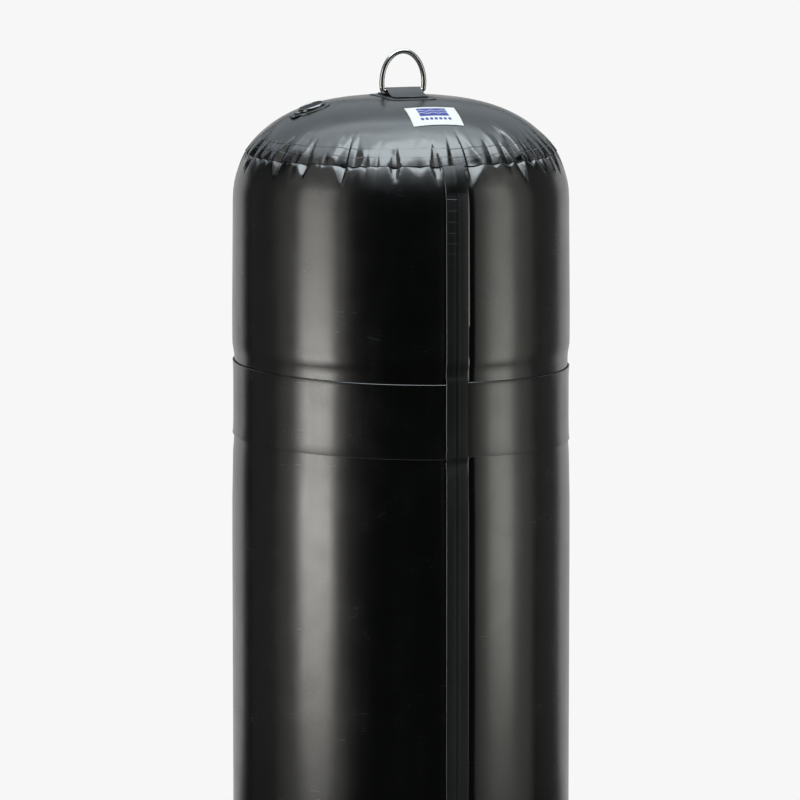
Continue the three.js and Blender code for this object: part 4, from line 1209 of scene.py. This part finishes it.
# %% [markdown]
# ## Floor
# The photo has no floor line, so the floor fades into the backdrop. Near the fender it is a real
# pale surface that takes its shadow. Further out it glows in the backdrop's own colour, but only
# for the camera, so it lights nothing.

# %% Floor
def turned(azimuth, elevation, distance, centre):
    """A point at an azimuth and elevation round a centre: (sin a cos e, -cos a cos e, sin e) * distance."""
    a, e = math.radians(azimuth), math.radians(elevation)
    return Vector((math.sin(a) * math.cos(e), -math.cos(a) * math.cos(e), math.sin(e))) * distance + centre


def floor():
    """A pale disc that fades into the backdrop's own colour towards its rim, so that no edge shows:
    share of backdrop = 0.35 up to 0.35 m from the middle, rising by a smooth step to 1 at 1.35 m."""
    rings = np.array([0.0, 0.3, 0.6, 0.9, 1.2, 1.5])
    turn = np.linspace(0, 2 * math.pi, 96, endpoint=False)
    under = np.full((6, 96), -0.0004)
    verts = np.stack([np.outer(rings, np.cos(turn)), np.outer(rings, np.sin(turn)), under], -1)
    obj = new_object("studio_floor", verts, grid_faces(6, 96, True)[:, ::-1], None, 60)
    weld(obj)
    n = Nodes("pale_floor", Base_Color=linear("#FFF8F0"), Roughness=0.8)
    where = n.add("ShaderNodeTexCoord").outputs["Object"]
    out_from_middle = n.add("ShaderNodeVectorMath", {"Vector": where}, operation="LENGTH").outputs["Value"]
    far = n.ramp(out_from_middle, 0.35, 1.35, 0.35, 1.0)
    glow = n.add("ShaderNodeEmission", in_Color=linear("#F7F7F7"))
    n.link(n.add("ShaderNodeLightPath").outputs["Is Camera Ray"], glow.inputs["Strength"])
    blend = n.add("ShaderNodeMixShader", {0: far, 1: n.shader.outputs["BSDF"], 2: glow.outputs["Emission"]})
    n.link(blend.outputs[0], n.tree.nodes["Material Output"].inputs["Surface"])
    dress(obj, n.material)
    return obj


floor()

# %% [markdown]
# ## Camera
# The camera stands 8 m away, 19 degrees to the left of the seam and 7.85 degrees up, with a long
# lens: the photo's verticals hardly converge. The aim is moved 1.3 mm to one side and down from the
# crown until the outline fits.

# %% Camera
CAMERA_AZIMUTH, CAMERA_ELEVATION, CAMERA_DISTANCE = -19.0, 7.85, 8.0
LENS, AIM_DOWN, AIM_ASIDE = 267.8, 0.4096, 0.0013
camera_data = bpy.data.cameras.new("camera")
camera_data.sensor_width = 36
camera_data.lens = LENS
camera_data.clip_start = 0.1
camera_data.clip_end = 100
camera = bpy.data.objects.new("camera", camera_data)
bpy.context.scene.collection.objects.link(camera)
bpy.context.scene.camera = camera
across_view = math.radians(CAMERA_AZIMUTH)
right_way = Vector((math.cos(across_view), math.sin(across_view), 0))
aim = Vector((0, 0, LENGTH + SHEET - AIM_DOWN)) - right_way * AIM_ASIDE
camera.location = turned(CAMERA_AZIMUTH, CAMERA_ELEVATION, CAMERA_DISTANCE, aim)
camera.rotation_mode = "QUATERNION"
camera.rotation_quaternion = (aim - camera.location).to_track_quat("-Z", "Y")
print("camera at %.2f, %.2f, %.2f m" % tuple(camera.location))

# %% [markdown]
# ## Light
# A glossy black surface shows its lamps, so each bright stripe in the photo is a panel. Where the
# view meets the surface at an angle, the panel stands twice that angle round: the stripe on the
# left needs one at -77 degrees and the stripe on the right one at 51. A bright narrow panel in
# front of a dim wide one gives a stripe with soft edges. Panels above light the dome, with a fading
# step where it turns down, and three behind draw the pale rims. Panels that look at the same place
# keep 0.1 to 0.2 m apart, because one hides another in the same plane.

# %% Panels
def panel(name, azimuth, elevation, distance, width, height, radiance, centre, tint):
    """A soft light facing the fender. Watts = radiance * pi * width * height."""
    data = bpy.data.lights.new(name, "AREA")
    data.shape = "RECTANGLE"
    data.size, data.size_y = width, height
    data.energy = radiance * math.pi * width * height
    data.color = tint
    obj = bpy.data.objects.new(name, data)
    bpy.context.scene.collection.objects.link(obj)
    obj.location = turned(azimuth, elevation, distance, centre)
    obj.rotation_euler = (centre - obj.location).to_track_quat("-Z", "Y").to_euler()
    obj.visible_camera = False
    return obj


WARM, GREEN, COLD = (1, 0.985, 0.93), (0.98, 1, 0.91), (0.86, 0.95, 1)
COLDER, PLAIN = (0.83, 0.93, 1), (1, 1, 1)
BEHIND = CAMERA_AZIMUTH + 180
# Name, azimuth, elevation, distance, width, height, radiance, place looked at from 1 m up, tint.
PANELS = (
    ("left_tall", -77, 0, 3.1, 1.3, 2.4, 1.1, (0, 0, 0.4), WARM),
    ("left_low", -77, 0, 2.9, 1.25, 0.7, 2.2, (0, 0, -0.43), WARM),
    ("left_wide", -80, 0, 2.7, 2.7, 2.6, 0.18, (0, 0, 0.25), WARM),
    ("left_far", -120, 0, 2.9, 1.9, 2.6, 0.06, (0, 0, 0.25), (1, 0.99, 0.95)),
    ("right_tall", 51, 0, 3.1, 1.0, 2.4, 0.74, (0, 0, 0.4), GREEN),
    ("right_low", 51, 0, 2.9, 1.0, 0.8, 0.54, (0, 0, -0.4), GREEN),
    ("right_wide", 55, 0, 2.7, 2.4, 2.8, 0.25, (0, 0, 0.3), GREEN),
    ("right_far", 99, 0, 2.9, 1.4, 2.6, 0.07, (0, 0, 0.25), (0.98, 1, 0.94)),
    ("right_upper", 58, 37, 2.9, 1.5, 1.6, 0.3, (0, 0, 0.4), (0.98, 1, 0.95)),
    ("left_upper", -84, 37, 2.9, 2.2, 1.6, 0.29, (0, 0, 0.4), (1, 0.99, 0.95)),
    ("overhead_front", -8, 74, 2.6, 3.2, 1.5, 2.5, (0.1, 0, 0.4), COLD),
    ("overhead_wide", -8, 84, 2.8, 4.2, 2.2, 1.3, (0.1, 0, 0.4), COLD),
    ("front_upper", -10, 53, 2.75, 2.8, 0.7, 0.83, (0, 0, 0.4), COLD),
    ("front_fade", -10, 46, 2.95, 3.0, 1.3, 0.32, (0, 0, 0.4), COLD),
    ("overhead_back", BEHIND, 68, 2.95, 4.6, 1.5, 1.25, (-0.4, 0, 0.4), COLDER),
    ("back_upper", BEHIND, 40, 4.0, 8.0, 3.6, 0.56, (0, 0, 0.3), COLDER),
    ("back_wall", BEHIND, 0, 4.5, 9.0, 2.8, 0.68, (0, 0, -0.2), PLAIN),
)
centre = Vector((0, 0, 1.0))
for *settings, place, tint in PANELS:
    panel(*settings, centre + Vector(place), tint)
print(len(PANELS), "panels")

# %% [markdown]
# ## Backdrop
# The camera sees a plain pale backdrop, while everything else is lit by a world so dim that the
# lamps alone shape the reflections. The light path's camera ray tells the two apart.

# %% Backdrop
scene = bpy.context.scene
world = bpy.data.worlds.new("studio")
scene.world = world
world.use_nodes = True
tree = world.node_tree
dim = tree.nodes["Background"]
dim.inputs["Color"].default_value = (0.9, 0.95, 1, 1)
dim.inputs["Strength"].default_value = 0.012
white = tree.nodes.new("ShaderNodeBackground")
white.inputs["Color"].default_value = linear("#F7F7F7")
white.inputs["Strength"].default_value = 1.0
path = tree.nodes.new("ShaderNodeLightPath")
mix = tree.nodes.new("ShaderNodeMixShader")
tree.links.new(path.outputs["Is Camera Ray"], mix.inputs["Fac"])
tree.links.new(dim.outputs[0], mix.inputs[1])
tree.links.new(white.outputs[0], mix.inputs[2])
tree.links.new(mix.outputs[0], tree.nodes["World Output"].inputs["Surface"])
scene.view_settings.view_transform = "Standard"
